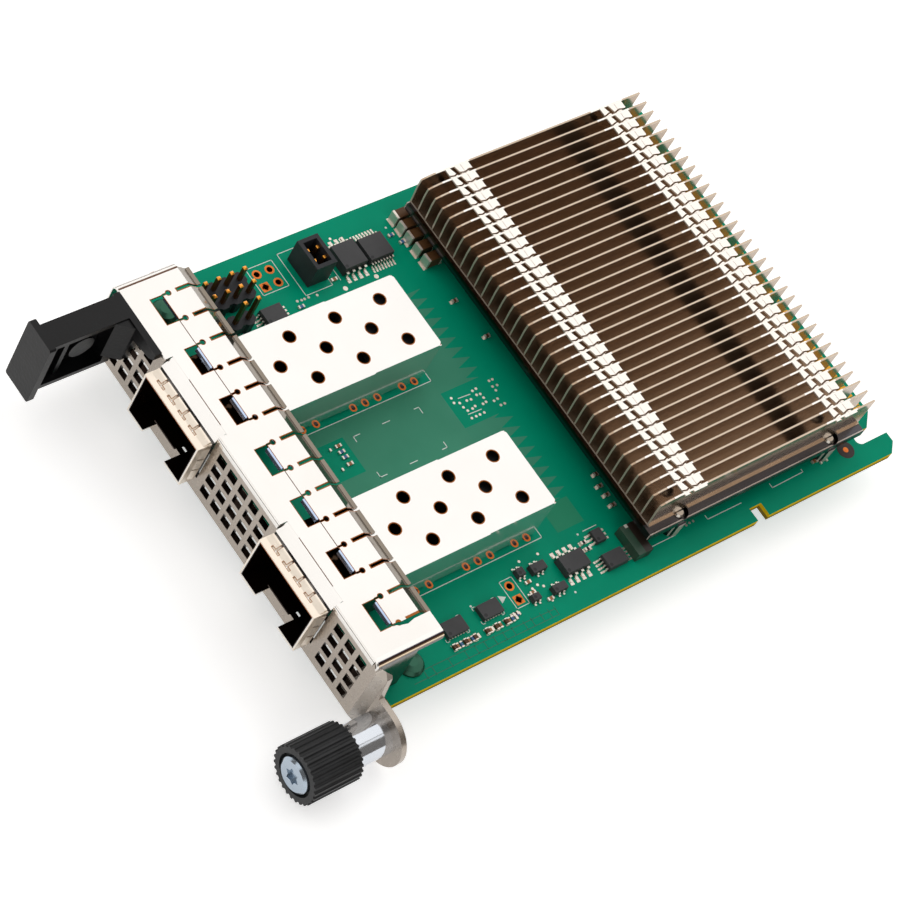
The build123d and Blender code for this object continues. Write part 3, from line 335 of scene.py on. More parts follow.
def strip_painted_light(place, normal, shown):
    """Painted shade: brown on the cut edges, a dark underside, a darker rear slope and gusset. Painted
    reflection on the lips and in the rolled fold.
    """
    x, y, z = place
    # Painted shade: the rear slope is greyer and the underside dark brown
    slope = (y > slope_front) * (z < strip_top - 0.06)
    shown = slope.mix(shown, srgb(136, 126, 114))
    shown = (normal[2] < -0.4).mix(shown, shade_brown)
    # Painted reflection in blue on the lips' front faces
    lip = (normal[1] < -0.5) * y.between(flat_front, lips_rear) * (z < strip_top - 0.1)
    shown = lip.mix(shown, srgb(150, 178, 214))
    aside = (x - first_window).to_and_fro(window_pitch / 2)
    off_slit = abs(aside - slit_aside)
    dots = off_slit * off_slit + (y - keyhole_rear) ** 2 < keyhole_square
    windows = (aside < window_half) * y.between(window_front, window_rear)
    slits = (off_slit < slit_half) * y.between(slit_front, slit_rear)
    keyholes = (off_slit < keyhole_half) * y.between(keyhole_front, keyhole_rear)
    # Painted shade in brown round the windows, slits and keyholes
    top = (normal[2] > 0.5) * (y > rims_front)
    shown = ((windows + slits + keyholes + dots) * top).mix(shown, edge_shade_brown)
    # Painted shade in brown on the upright cut walls
    upright = abs(normal[2]) < 0.35
    cut = upright * (z > strip_top - strip_edge) * y.between(flat_front, flat_rear) * (1.0 - lip)
    shown = cut.mix(shown, edge_shade_brown)
    # Painted shade on the gusset at the strip's near end
    gusset = (x > fold_side) * (z < strip_top - fold_deep)
    shown = gusset.mix(shown, srgb(74, 58, 46))
    # Painted reflection: the fold's colour follows its direction through bands of the room
    fold_reflection = normal[0].node("ShaderNodeValToRGB", {"stops": fold_painted_reflection}, {0: normal[0]})
    rolled = (x > rolled_side) * (y > rolled_front) * (z > strip_top - fold_deep)
    return rolled.mix(shown, fold_reflection)


# The cages: half their inner width, the heights between which they get painted shade, and their holes in
# a middle column and two side ones
cage_inner, cage_floor, cage_top, cage_edge = 6.88, 0.5, 9.7, 0.22
hole_pitch, middle_hole, side_hole, side_column = 8.95, 17.4, 21.9, 3.95
hole_rim_square = 1.34
holes_front, holes_rear = 16.0, 41.2
strip_shade_front, strip_shade_rear = 1.2, 13.2


def cage_painted_light(place, normal, shown):
    """Painted shade: dark insides, brown along their top edge and round the holes, and shade under the
    strip.
    """
    x, y, z = place
    aside = abs(x - cage_middles[0]).least(abs(x - cage_middles[1]))
    # Painted shade: the insides go dark, and brown along their top edge
    within = (aside < cage_inner) * z.between(cage_floor, cage_top)
    shown = within.mix(shown, srgb(44, 30, 20))
    shown = (within * (z > cage_top - cage_edge)).mix(shown, edge_shade_brown)
    # Painted shade in brown round the holes in the top
    middle_row = (y - middle_hole).to_and_fro(hole_pitch / 2)
    side_row = (y - side_hole).to_and_fro(hole_pitch / 2)
    off_column = aside - side_column
    off_middle = aside * aside + middle_row * middle_row
    off_side = off_column * off_column + side_row * side_row
    rims = (off_middle.least(off_side) < hole_rim_square) * y.between(holes_front, holes_rear)
    shown = (rims * (z > cage_top)).mix(shown, edge_shade_brown)
    # Painted shade where the strip covers the cages
    return y.between(strip_shade_front, strip_shade_rear).mix(shown, shade_brown)


# The collars' fingers, which stand a little to one side of the cages' middles
finger_pitch, finger_shift, fingers_half = 2.84, -0.35, 5.3
slot_half, slot_front, root_half, root_front, root_reach = 0.22, 1.05, 0.93, 1.1, 0.2
rear_edge, top_deep = 0.16, 0.8


def collar_painted_light(place, normal, shown):
    """Painted shade in brown between the collar's fingers, at their roots and along its rear."""
    x, y, z = place
    low, high = millimetres(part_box("cage_collar_1"))
    off_middles = [x - (middle + finger_shift) for middle in cage_middles]
    first, second = [off.to_and_fro(finger_pitch / 2) for off in off_middles]
    across = finger_pitch / 2 - (x > 1.0).mix(first, second, "FLOAT")
    slots = (across < slot_half) * (y > low.y + slot_front)
    roots = (across < root_half) * (abs(y - (low.y + root_front)) < root_reach)
    rear = y > high.y - rear_edge
    aside = abs(off_middles[0]).least(abs(off_middles[1]))
    top = (normal[2] > 0.3) * (z > high.z - top_deep) * (aside < fingers_half)
    # Painted shade in brown in the slots, at the roots and along the rear
    return ((slots + roots + rear) * top).mix(shown, edge_shade_brown)


plate_steel = sheet_metal("plate_steel", srgb(182, 172, 161), srgb(168, 158, 148), 0.28,
                          marks=plate_painted_light, dull=ear_step)
cage_steel = sheet_metal("cage_steel", srgb(242, 241, 238), srgb(232, 229, 225), 0.12,
                         marks=cage_painted_light)
spring_steel = sheet_metal("spring_steel", srgb(242, 240, 237), srgb(231, 227, 221), 0.1,
                           marks=strip_painted_light)
collar_steel = sheet_metal("collar_steel", srgb(246, 236, 222), srgb(232, 218, 200), 0.3,
                           marks=collar_painted_light)
coil_steel = sheet_metal("coil_steel", srgb(214, 208, 198), srgb(180, 172, 160), 0.2)
bright_steel = sheet_metal("bright_steel", srgb(222, 226, 232), srgb(200, 206, 214), 0.1)
# Painted reflection: the lips' steel is tinted blue-white
lip_painted_reflection = sheet_metal("lip_painted_reflection", srgb(206, 220, 242), srgb(170, 192, 226), 0.16)
# Painted reflection: the screws are tinted green, as steel that mirrors the board
screw_painted_reflection = sheet_metal("screw_painted_reflection", srgb(58, 104, 84), srgb(42, 80, 64), 0.32)
head_steel = sheet_metal("head_steel", srgb(184, 196, 208), srgb(162, 176, 190), 0.2)
sink_screw_steel = sheet_metal("sink_screw_steel", srgb(226, 222, 214), srgb(196, 188, 176), 0.12)
gold = sheet_metal("gold", srgb(220, 160, 46), srgb(196, 134, 30), 0.3)
tab_plastic = moulding("tab_plastic", srgb(14, 14, 15), srgb(25, 25, 27), 0.36)
knob_plastic = moulding("knob_plastic", srgb(44, 45, 46), srgb(62, 63, 65), 0.4)
connector_plastic = moulding("connector_plastic", srgb(40, 42, 46), srgb(58, 60, 64), 0.42)
pad_rubber = moulding("pad_rubber", srgb(120, 124, 128), srgb(140, 144, 148), 0.7)
brown_ceramic = moulding("brown_ceramic", srgb(86, 58, 34), srgb(112, 78, 48), 0.35)

# Moulded chips: the body's left, right, front and rear, the leads on each of two sides, their
# pitch, the axis that they stand out along, and their reach from the body
chip_rows = {
    "driver_chip": ((-32.8, -28.0, 43.7, 48.4), 4, 1.2, "x", 1.1),
    "logic_chip": ((-32.3, -27.9, 49.0, 53.9), 8, 0.6, "x", 1.0),
    "supervisor_chip": ((-27.5, -24.5, 26.0, 30.0), 4, 0.65, "y", 0.8),
    "memory_chip": ((29.3, 32.5, 44.5, 49.4), 4, 1.25, "x", 1.0),
    "sensor_chip": ((27.6, 29.9, 53.0, 55.0), 3, 0.75, "y", 0.55),
    "regulator_chip": ((31.9, 34.6, 51.9, 55.9), 4, 0.65, "y", 0.9),
}
transistor_bodies = (
    (27.9, 29.3, 37.0, 38.5), (28.3, 29.9, 39.6, 42.5),
    (32.6, 33.8, 36.7, 38.3), (32.8, 34.2, 40.8, 43.5),
)
power_switch_bodies = ((30.4, 32.9, 27.4, 31.3), (30.4, 33.0, 20.2, 24.2))
dimple_inset, dimple_radius, dimple_above = 0.55, 0.3, 0.8
body_skin = 0.02


def chip_plastic(name, bodies):
    """Grey moulded bodies with a moulding dimple, and tinned leads outside them."""
    made, shader, place = material(name)
    x, y, z = plan = axes(place)
    body = dimple = 0.0
    for left, right, front, rear in bodies:
        skin = (left - body_skin, right + body_skin, front - body_skin, rear + body_skin)
        body = inside(plan, *skin) + body
        away = (x - (right - dimple_inset)) ** 2 + (y - (front + dimple_inset)) ** 2
        dimple = (away < dimple_radius ** 2) + dimple
    plastic = noise(place, 220).mix(srgb(52, 52, 54), srgb(72, 72, 74))
    plastic = (dimple * (z > dimple_above)).mix(plastic, srgb(38, 38, 40))
    leads = noise(place, 400).mix(srgb(236, 230, 220), srgb(196, 188, 176))
    plug(shader, "Base Color", body.mix(leads, plastic))
    plug(shader, "Metallic", body.mix(0.9, 0.0, "FLOAT"))
    plug(shader, "Roughness", body.mix(0.3, 0.52, "FLOAT"))
    relief(shader, noise(place, 1600, 2), 0.2)
    plug(shader, "Specular IOR Level", 0.4)
    return made


# How far down from the tip the painted highlight reaches
tip_deep = 0.35


def pin_gold(name, tip):
    """Gold-plated pins: painted shade down their sides, where they mirror dark, and a painted highlight in
    bright orange at the tips.
    """
    made, shader, place = material(name)
    height = axes(place)[2]
    streaks = noise(place, 700)
    # Painted shade on the shaft, and a painted highlight at the tip
    shaft = streaks.mix(srgb(140, 96, 40), srgb(104, 66, 26))
    plug(shader, "Base Color", (height > tip - tip_deep).mix(shaft, srgb(250, 168, 66)))
    wear(shader, streaks, spread=0.15, smoothest=0.22, depth=0.05)
    plug(shader, "Metallic", 0.9)
    return made


# The fins, and their two rows of flat zipper tabs with a waved seam from fin to fin
fin_pitch, outer_fin, crown_deep = 1.985, 33.3, 0.24
zipper_rows = (64.1, 97.85)
tab_ahead, tab_behind = 2.0, 5.1
seam_place, seam_sway, seam_half, seam_wave = 0.78, 0.14, 0.07, 1.1


def fin_metal():
    """Thin brown fins that mirror each other, with painted highlights on their crowns, front edges and
    zipper tabs, and painted shade on the outer fins' sides.
    """
    made, shader, place = material("fin_metal")
    x, y, z = axes(place)
    normal = normals(place)
    low, high = millimetres(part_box("heatsink_fins"))
    streaks = noise(drawn_out(place, 0.2), 1200, 3)
    crown = z > high.z - crown_deep
    tabs = 0.0
    for row in zipper_rows:
        tabs = y.between(row - tab_ahead, row + tab_behind) + tabs
    across = ((x - low.x) / fin_pitch).fraction()
    wave = y.to_and_fro(seam_wave) / seam_wave
    seam = abs(across - (wave * seam_sway + seam_place)) < seam_half
    facing_front = normal[1] < -0.5
    right_side = (normal[0] > 0.5) * (x > outer_fin)
    left_side = (normal[0] < -0.5) * (x < -outer_fin)
    brown = streaks.mix(srgb(190, 166, 142), srgb(164, 142, 120))
    # Painted highlight: the crowns and zipper tabs are paler than the fins
    pale = tabs.mix(srgb(198, 180, 160), srgb(246, 240, 232))
    pale = (seam * tabs).mix(pale, srgb(92, 66, 46))
    # Painted highlight on the fins' front edges
    shown = facing_front.mix(crown.mix(brown, pale), srgb(200, 186, 170))
    # Painted shade on the outer fins' sides
    shown = ((right_side + left_side) * (1.0 - crown)).mix(shown, srgb(116, 102, 86))
    plug(shader, "Base Color", shown)
    wear(shader, streaks, spread=0.08, smoothest=0.1, depth=0.04)
    plug(shader, "Metallic", 0.8 - facing_front * 0.6)
    return made


# The base plate's painted highlight on its rim and on the line beside it, in from its side, and the painted
# shade of the fins
rim_wide, line_outer, line_inner, shade_inset, base_top = 0.16, 0.42, 0.6, 2.4, 4.0


def base_metal():
    """The heat sink's base plate: dark grey with fine milling marks, a painted highlight on its rim and
    painted shade under the fins.
    """
    made, shader, place = material("base_metal")
    x, _, z = axes(place)
    milling = noise(drawn_out(place, 0.06), 1400, 3)
    aside = abs(x)
    # Painted highlight on the rim and on the line beside it
    rim = (aside > sink_side - rim_wide) + aside.between(sink_side - line_inner, sink_side - line_outer)
    shade = (aside < sink_side - shade_inset) * (z > base_top)
    shown = noise(place, 60).mix(srgb(88, 86, 88), srgb(72, 70, 74))
    shown = shade.mix(shown, srgb(52, 38, 28))
    plug(shader, "Base Color", rim.mix(shown, srgb(206, 196, 186)))
    wear(shader, milling, spread=0.12, smoothest=0.16, depth=0.08)
    plug(shader, "Metallic", 1.0 - rim * 0.7)
    return made


# Copper that shows through the mask, as left, right, front and rear: two pours with a gap, and
# a patch. Behind the rear pour lies combed copper, whose rear edge is a row of pointed teeth.
pours = ((-6.0, 9.9, 26.2, 45.8), (-6.0, 9.9, 13.0, 26.2))
pour_gap = (-3.3, 3.3, 13.0, 25.9)
patch = (20.6, 25.4, 48.5, 54.0)
comb_left, comb_right, comb_front, comb_rear = -21.0, 20.4, 45.8, 51.6
comb_gap = (-3.3, 3.6, 45.8, 55.0)
tooth_half, tooth_deep = 1.0, 3.2
# The plated holes, whose walls get painted shade in brown, lie within these limits, and the cut edges of
# the board outside them
holes_side, holes_near, holes_far = 36.9, 1.0, 60.0


def board_green():
    """Green solder mask over copper pours on the faces, and yellow laminate on the cut edges, with painted
    shade on their lower half and in brown on the holes' walls.
    """
    made, shader, place = material("board_green")
    x, y, z = plan = axes(place)
    up = normals(place)[2]
    tone = noise(place, 90)
    fine = noise(place, 700, 2)
    flat = abs(up) > 0.7
    upper = (up > 0.7) * (z > -0.1)
    pour = inside(plan, *pours[0]) + inside(plan, *pours[1]) - inside(plan, *pour_gap)
    tooth = x.to_and_fro(tooth_half) * tooth_deep
    combed = (y > comb_front) * (y < tooth + comb_rear) * x.between(comb_left, comb_right)
    combed = combed - inside(plan, *comb_gap)
    bare = (pour * 0.85 + combed * 0.8) * upper
    mask = tone.mix(srgb(0, 164, 128), srgb(0, 146, 113))
    mask = bare.mix(mask, tone.mix(srgb(88, 158, 132), srgb(66, 140, 112)))
    mask = (inside(plan, *patch) * upper).mix(mask, srgb(50, 150, 114))
    edge = fine.mix(srgb(255, 222, 36), srgb(230, 192, 28))
    # Painted shade: the lower half of the cut edges is darker
    lower_edge = fine.mix(srgb(168, 146, 62), srgb(136, 118, 52))
    edge = (z < board_back * 0.5).mix(edge, lower_edge)
    # Painted shade in brown on the walls of the plated holes
    hole_walls = (abs(x) < holes_side) * y.between(holes_near, holes_far)
    edge = hole_walls.mix(edge, srgb(58, 32, 14))
    plug(shader, "Base Color", flat.mix(edge, mask))
    plug(shader, "Roughness", fine * 0.1 + 0.36)
    plug(shader, "Coat Weight", flat * 0.12)
    plug(shader, "Coat Roughness", 0.3)
    plug(shader, "Specular IOR Level", 0.0)
    return made


def inductor_body():
    """A green-grey wound body with a painted highlight on its end, and painted shade in brown where it
    stands by the heat sink.
    """
    made, shader, place = material("inductor_body")
    low, high = millimetres(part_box("power_inductor"))
    x, y, z = axes(place)
    cloud = noise(place, 500)
    body_rear = low.y + 1.5
    pale_wide, pale_long, pale_deep = 0.6, 0.6, 0.8
    shown = cloud.mix(srgb(58, 88, 70), srgb(40, 66, 52))
    # Painted shade in brown on the part beside the heat sink
    shown = (y > body_rear).mix(shown, srgb(44, 34, 28))
    # Painted highlight: a pale patch on the top of its end
    pale = y.between(body_rear - pale_long, body_rear) * (z > high.z - pale_deep)
    pale = (x < low.x + pale_wide) * pale
    plug(shader, "Base Color", pale.mix(shown, srgb(214, 214, 204)))
    wear(shader, cloud, spread=0.2, smoothest=0.3, depth=0.2)
    return made


finishes = {
    "circuit_board": board_green(), "edge_contacts": gold, "faceplate": plate_steel,
    "emi_strip": spring_steel, "faceplate_screws": screw_painted_reflection, "pull_tab": tab_plastic,
    "thumbscrew_knob": knob_plastic, "thumbscrew_screw": head_steel,
    "thumbscrew_sleeve": bright_steel, "thumbscrew_spring": coil_steel,
    "heatsink_base": base_metal(), "heatsink_fins": fin_metal(), "heatsink_screws": sink_screw_steel,
    "thermal_pad": pad_rubber, "ceramic_capacitors": brown_ceramic, "small_capacitors": brown_ceramic,
    "transistors": chip_plastic("transistor_plastic", transistor_bodies),
    "power_switches": chip_plastic("switch_plastic", power_switch_bodies),
    "resistors": connector_plastic, "power_inductor": inductor_body(),
    "controller_chip": connector_plastic, "port_contacts_1": gold, "port_contacts_2": gold,
    "port_connector_1": connector_plastic, "port_connector_2": connector_plastic,
    "module_cage_1": cage_steel, "module_cage_2": cage_steel,
    "cage_collar_1": collar_steel, "cage_collar_2": collar_steel,
}
for name, (body, *_) in chip_rows.items():
    finishes[name] = chip_plastic(name.replace("chip", "plastic"), [body])
for name in ("pin_header_8", "pin_header_2", "box_header"):
    finishes[name] = connector_plastic
    finishes[f"{name}_pins"] = pin_gold(f"{name}_gold", millimetres(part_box(f"{name}_pins"))[1].z)
for name, node in nodes.items():
    if not node.data.materials:
        node.data.materials.append(None)
    for slot in node.material_slots:
        slot.material = finishes[name]


def new_piece(name, made, finish, body="card"):
    """Turns a bmesh in millimetres into a piece that rides on a body, or on none."""
    mesh = bpy.data.meshes.new(name)
    bmesh.ops.recalc_face_normals(made, faces=made.faces)
    bmesh.ops.scale(made, verts=made.verts, vec=(mm, mm, mm))
    made.to_mesh(mesh)
    made.free()
    piece = bpy.data.objects.new(name, mesh)
    bpy.context.scene.collection.objects.link(piece)
    mesh.materials.append(finish)
    if body:
        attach(piece, body)
    return piece


def new_corners(grown):
    """The vertices among what an operator has made."""
    return [part for part in grown if isinstance(part, bmesh.types.BMVert)]


def prism(made, outline, low, high):
    """Adds a flat prism over an outline of (x, y) points that goes anticlockwise."""
    base = [made.verts.new((x, y, low)) for x, y in outline]
    face = made.faces.new(list(reversed(base)))
    grown = bmesh.ops.extrude_face_region(made, geom=[face], use_keep_orig=True)
    bmesh.ops.translate(made, verts=new_corners(grown["geom"]), vec=(0, 0, high - low))


def block(made, left, right, front, rear, low, high):
    prism(made, [(left, front), (right, front), (right, rear), (left, rear)], low, high)


def pad(made, x, y, half_x, half_y, high):
    """Adds a block on the board that is centred on a point of its plan."""
    block(made, x - half_x, x + half_x, y - half_y, y + half_y, 0, high)


def stroke(made, points, width, low, high, closed=False):
    """Adds a thin printed line through (x, y) points."""
    ends = [Vector(point) for point in points]
    if closed:
        ends.append(ends[0])
    for first, second in zip(ends, ends[1:]):
        along = (second - first).normalized() * (width / 2)
        across = Vector((-along.y, along.x))
        first, second = first - along, second + along
        prism(made, [first + across, first - across, second - across, second + across], low, high)


def disc(made, x, y, radius, low, high, sides=16):
    turn = full_turn / sides
    outline = [(x + radius * math.cos(i * turn), y + radius * math.sin(i * turn)) for i in range(sides)]
    prism(made, outline, low, high)


def ring(made, x, y, outer, inner, low, high, sides=24):
    """Adds a flat ring round a plated hole."""
    corners = ((inner, low), (outer, low), (outer, high), (inner, high))
    profile = [made.verts.new((x + radius, y, z)) for radius, z in corners]
    edges = [made.edges.new((profile[index - 1], profile[index])) for index in range(4)]
    bmesh.ops.spin(made, geom=profile + edges, cent=(x, y, 0), axis=(0, 0, 1), angle=full_turn,
                   steps=sides, use_merge=True)


white_ink = painted("white_ink", srgb(244, 248, 244), srgb(216, 230, 222), 0.6)
mask_ridge = painted("mask_ridge", srgb(0, 124, 94), srgb(0, 106, 80), 0.45)
copper = painted("copper", srgb(236, 132, 58), srgb(202, 98, 34), 0.35, 0.7)
tin = painted("tin", srgb(250, 244, 236), srgb(222, 206, 190), 0.34, 0.6)
# hole_brown gives painted shade in the cages' holes, and the corner pad's ring
hole_brown = painted("hole_brown", srgb(52, 26, 10), srgb(30, 14, 6), 0.5)
# Painted shade for the strip's bends
crease_shade = painted("crease_shade", srgb(122, 76, 40), srgb(92, 54, 26), 0.4)
part_blue = painted("part_blue", srgb(70, 120, 170), srgb(50, 90, 140), 0.4)
part_tan = painted("part_tan", srgb(176, 120, 70), srgb(150, 96, 52), 0.4)

# Thickness of the ink, and of the pads and rings, over the solder mask
ink_top = 0.02
pad_top = 0.035
# Widths of the printed lines: round parts, beside them, and over the traces
outline_wide, mark_wide, trace_wide = 0.13, 0.15, 0.12
dot_sides, small_ring_sides = 10, 16

outlined_boxes = (
    (-35.2, -30.0, 29.2, 34.3), (-35.7, -27.3, 35.8, 41.2), (28.4, 33.4, 33.95, 36.45),
)
printed_marks = (
    ((-7.4, 45.8), (-5.9, 45.8), (-5.9, 17.0)), ((23.3, 45.5), (24.9, 45.5), (24.9, 17.0)),
    ((-2.65, 28.9), (-2.65, 27.6), (-1.7, 27.6)), ((4.2, 27.4), (5.15, 27.4), (5.15, 28.7)),
    ((-2.75, 40.0), (-2.75, 40.9), (-1.6, 40.9)), ((4.2, 40.9), (5.2, 40.9), (5.2, 39.9)),
    ((-2.65, 33.5), (-2.65, 34.9)), ((5.15, 33.4), (5.15, 34.8)),
    ((-1.4, 48.1), (-1.25, 50.4)), ((1.7, 47.9), (1.8, 50.5)),
    ((33.6, 59.8), (34.05, 59.8), (34.05, 66.8), (33.6, 66.8)),
    ((33.4, 73.9), (34.1, 73.9), (34.15, 81.3)),
    ((33.4, 88.4), (34.2, 88.4), (34.1, 95.5), (33.6, 95.5)),
    ((-33.2, 43.4), (-33.2, 43.0), (-27.6, 43.0)), ((26.9, 52.6), (26.9, 55.3)),
)
printed_arrow = ((30.2, 32.3), (31.6, 32.3), (30.9, 33.5))
printed_dots = (
    (-29.2, 41.9), (-33.0, 56.3), (29.8, 20.0), (29.8, 27.2), (27.0, 51.4), (35.1, 44.6), (30.8, 19.6),
)
printed_dot = 0.2
bracket_gap, bracket_arm = 0.28, 0.5


def legend():
    """White outlines and corner marks on the board's upper face."""
    made = bmesh.new()
    for left, right, front, rear in outlined_boxes:
        outline = [(left, front), (right, front), (right, rear), (left, rear)]
        stroke(made, outline, outline_wide, 0, ink_top, True)
    for points in printed_marks:
        stroke(made, points, mark_wide, 0, ink_top)
    for left, right, front, rear in power_switch_bodies:
        front, rear = front - bracket_gap, rear + bracket_gap
        for x, arm in ((left - bracket_gap, bracket_arm), (right + bracket_gap, -bracket_arm)):
            for y, leg in ((front, bracket_arm), (rear, -bracket_arm)):
                stroke(made, [(x, y + leg), (x, y), (x + arm, y)], outline_wide, 0, ink_top)
    prism(made, printed_arrow, 0, ink_top)
    for x, y in printed_dots:
        disc(made, x, y, printed_dot, 0, ink_top, dot_sides)
    new_piece("legend_lines", made, white_ink)


# The two traces along the thumbscrew's side, and the rungs that make cells between them
trace_lines = (
    ((35.35, 11.0), (35.6, 26.2), (36.0, 39.7)), ((36.75, 11.0), (36.95, 28.8), (37.1, 39.7)),
)
rung_left, rung_right = 35.55, 36.95
rungs = (13.6, 15.2, 18.4, 21.6, 23.6, 25.4, 27.3, 29.2, 31.0, 33.4, 34.9, 36.8, 38.4, 39.7)


def mask_lines():
    """Raised solder mask over the traces and cells along the thumbscrew side."""
    made = bmesh.new()
    for points in trace_lines:
        stroke(made, points, trace_wide, 0, ink_top)
    for y in rungs:
        stroke(made, [(rung_left, y), (rung_right, y)], trace_wide, 0, ink_top)
    new_piece("mask_lines", made, mask_ridge)


# Centres of the plated holes: round and square pads where nothing is fitted, the cages' pins,
# and the headers' pins
round_pads = ((-33.77, 30.43), (-31.23, 32.97), (-33.77, 32.97), (29.63, 35.15))
square_pads = ((-31.23, 30.43), (32.17, 35.15))
cage_pins = [(x, y) for x in (-6.9, 23.95) for y in (20.6, 23.3, 30.7, 33.1, 35.6, 40.6, 43.1)]
pin_pitch = 2.54
header_pins = [(-31.8 + pin_pitch * i, 17.89 + pin_pitch * j) for i in (-0.5, 0.5) for j in range(4)]
header_pins += [(-26.5, 20.13), (-26.5, 22.67)]
# Radii of the bare holes, their round pads and the rings in their square pads, and half the side
# of a square pad
bare_hole, round_pad, square_ring, square_half = 0.51, 0.82, 0.64, 0.8
# Outer and inner radii of the rings round the fitted pins, and the brown disc of painted shade in the
# cages' holes, with how far it sinks
cage_ring, header_ring, cage_hole_shade, hole_shade_sunk = (0.62, 0.34), (0.85, 0.4), 0.36, 0.005
# The round pad at the board's rear corner: its place, its copper middle and its brown ring
corner_pad, corner_middle, corner_ring = (34.0, 105.6), 0.5, (1.6, 0.48)


def rings():
    """Copper round the plated holes on both faces, painted shade as brown discs in the cages' holes, and a
    corner pad.
    """
    made = bmesh.new()
    faces = ((0, pad_top), (board_back - pad_top, board_back))
    arm = ((bare_hole, -square_half), (square_half, -square_half),
           (square_half, bare_hole), (bare_hole, bare_hole))
    for low, high in faces:
        for x, y in round_pads:
            ring(made, x, y, round_pad, bare_hole, low, high)
        for x, y in square_pads:
            for quarter in range(4):
                turn = Matrix.Rotation(quarter * full_turn / 4, 2)
                turned = [turn @ Vector(point) for point in arm]
                prism(made, [(x + point.x, y + point.y) for point in turned], low, high)
            ring(made, x, y, square_ring, bare_hole, low, high)
        for x, y in cage_pins:
            ring(made, x, y, *cage_ring, low, high, small_ring_sides)
    disc(made, *corner_pad, corner_middle, 0, pad_top + ink_top)
    for x, y in header_pins:
        ring(made, x, y, *header_ring, board_back - pad_top, board_back, small_ring_sides)
    new_piece("copper_rings", made, copper)
    made = bmesh.new()
    for low, high in faces:
        for x, y in cage_pins:
            disc(made, x, y, cage_hole_shade, low + hole_shade_sunk, high - hole_shade_sunk)
    ring(made, *corner_pad, *corner_ring, 0, pad_top)
    new_piece("plated_holes", made, hole_brown)


test_dots = (
    (-1.9, 47.0), (-1.0, 46.9), (-0.6, 47.8), (0.3, 47.9), (-0.5, 49.2), (-0.4, 50.0), (-1.6, 51.2),
    (-1.7, 52.0), (-0.7, 51.4), (-0.6, 52.1), (0.2, 52.2), (1.1, 51.4), (1.0, 52.1), (0.9, 49.9),
    (1.1, 49.2), (1.1, 48.2), (1.4, 53.5), (1.3, 54.3), (2.5, 54.1), (2.5, 54.9), (-2.0, 55.0),
    (-2.0, 55.7), (-0.9, 54.9), (-0.8, 55.8), (-0.1, 55.0), (2.5, 48.0), (2.5, 48.9), (2.5, 49.7),
    (2.5, 50.6), (-27.0, 33.8), (-26.9, 34.6), (-26.9, 35.2), (-26.9, 36.0), (-26.7, 37.6),
    (-34.0, 47.5), (-34.8, 46.0), (33.4, 69.7), (33.3, 70.5), (33.3, 71.3),
    (26.8, 39.3), (27.0, 43.0), (31.6, 38.4), (31.4, 39.6), (34.6, 40.2), (32.0, 40.4),
)
large_dots = ((-25.8, 49.1), (-25.9, 42.8))
test_dot, large_dot = 0.24, 0.42
# A lead's pad: half its width as a share of the pitch, and half its length on either kind of row
pad_share, pad_half_x, pad_half_y = 0.27, 0.45, 0.4
# The leads in a row at each side of a power switch, and half their width and length, and height
switch_leads, lead_inset, switch_lead = 7, 0.35, (0.14, 0.13, 0.2)


def solder():
    """Tinned pads under the leads, test dots and the leads of the power switches."""
    made = bmesh.new()
    for (left, right, front, rear), count, pitch, side, reach in chip_rows.values():
        middle_x, middle_y = (left + right) / 2, (front + rear) / 2
        half = pitch * pad_share
        for index in range(count):
            shift = (index - (count - 1) / 2) * pitch
            for way in (-1, 1):
                if side == "x":
                    out = way * ((right - left) / 2 + reach)
                    pad(made, middle_x + out, middle_y + shift, pad_half_x, half, pad_top)
                else:
                    out = way * ((rear - front) / 2 + reach)
                    pad(made, middle_x + shift, middle_y + out, half, pad_half_y, pad_top)
    for x, y in test_dots:
        disc(made, x, y, test_dot, 0, pad_top, dot_sides)
    for x, y in large_dots:
        disc(made, x, y, large_dot, 0, pad_top)
    for left, right, front, rear in power_switch_bodies:
        row = rear - front - 2 * lead_inset
        for index in range(switch_leads):
            y = front + lead_inset + row * index / (switch_leads - 1)
            for x in (left, right):
                pad(made, x, y, *switch_lead)
    new_piece("solder_pads", made, tin)


# How far the tin stands out from a part, and its land on the board from the tin
cap_grow, land_grow = 0.03, 0.05


def cap_pair(made, body, height, share, along, reach=0.25):
    """Tins a share of a block at both its ends, and lays a land on the board at each."""
    left, right, front, rear = body
    near, far = (2, 3) if along == "y" else (0, 1)
    cap = share * (body[far] - body[near])
    for outer, inner, way in ((near, far, -1), (far, near, 1)):
        box = [left - cap_grow, right + cap_grow, front - cap_grow, rear + cap_grow]
        box[inner] = body[outer] - way * cap
        block(made, *box, 0, height + cap_grow)
        land = [box[0] - land_grow, box[1] + land_grow, box[2] - land_grow, box[3] + land_grow]
        land[outer] += way * reach
        block(made, *land, 0, pad_top)


# Where the solids' small parts stand: left edges, and centres along the board's side
large_capacitors, large_wide, large_front, large_rear = (-34.3, -32.2, -30.1, -27.7, -25.3), 1.6, 57.7, 60.9
edge_capacitors, edge_left, edge_right = (20.4, 22.6, 24.5, 26.9, 28.8, 30.8), 34.0, 35.0
sink_capacitors = ((19.5, 61.0), (21.5, 60.2), (23.3, 60.3), (25.2, 60.1), (-16.7, 58.6), (-9.0, 59.7))
resistor_places = ((34.0, 33.0), (28.6, 51.2), (29.8, 51.2), (-23.4, 47.3), (-23.4, 49.0))
small_half, long_half = 0.25, 0.5


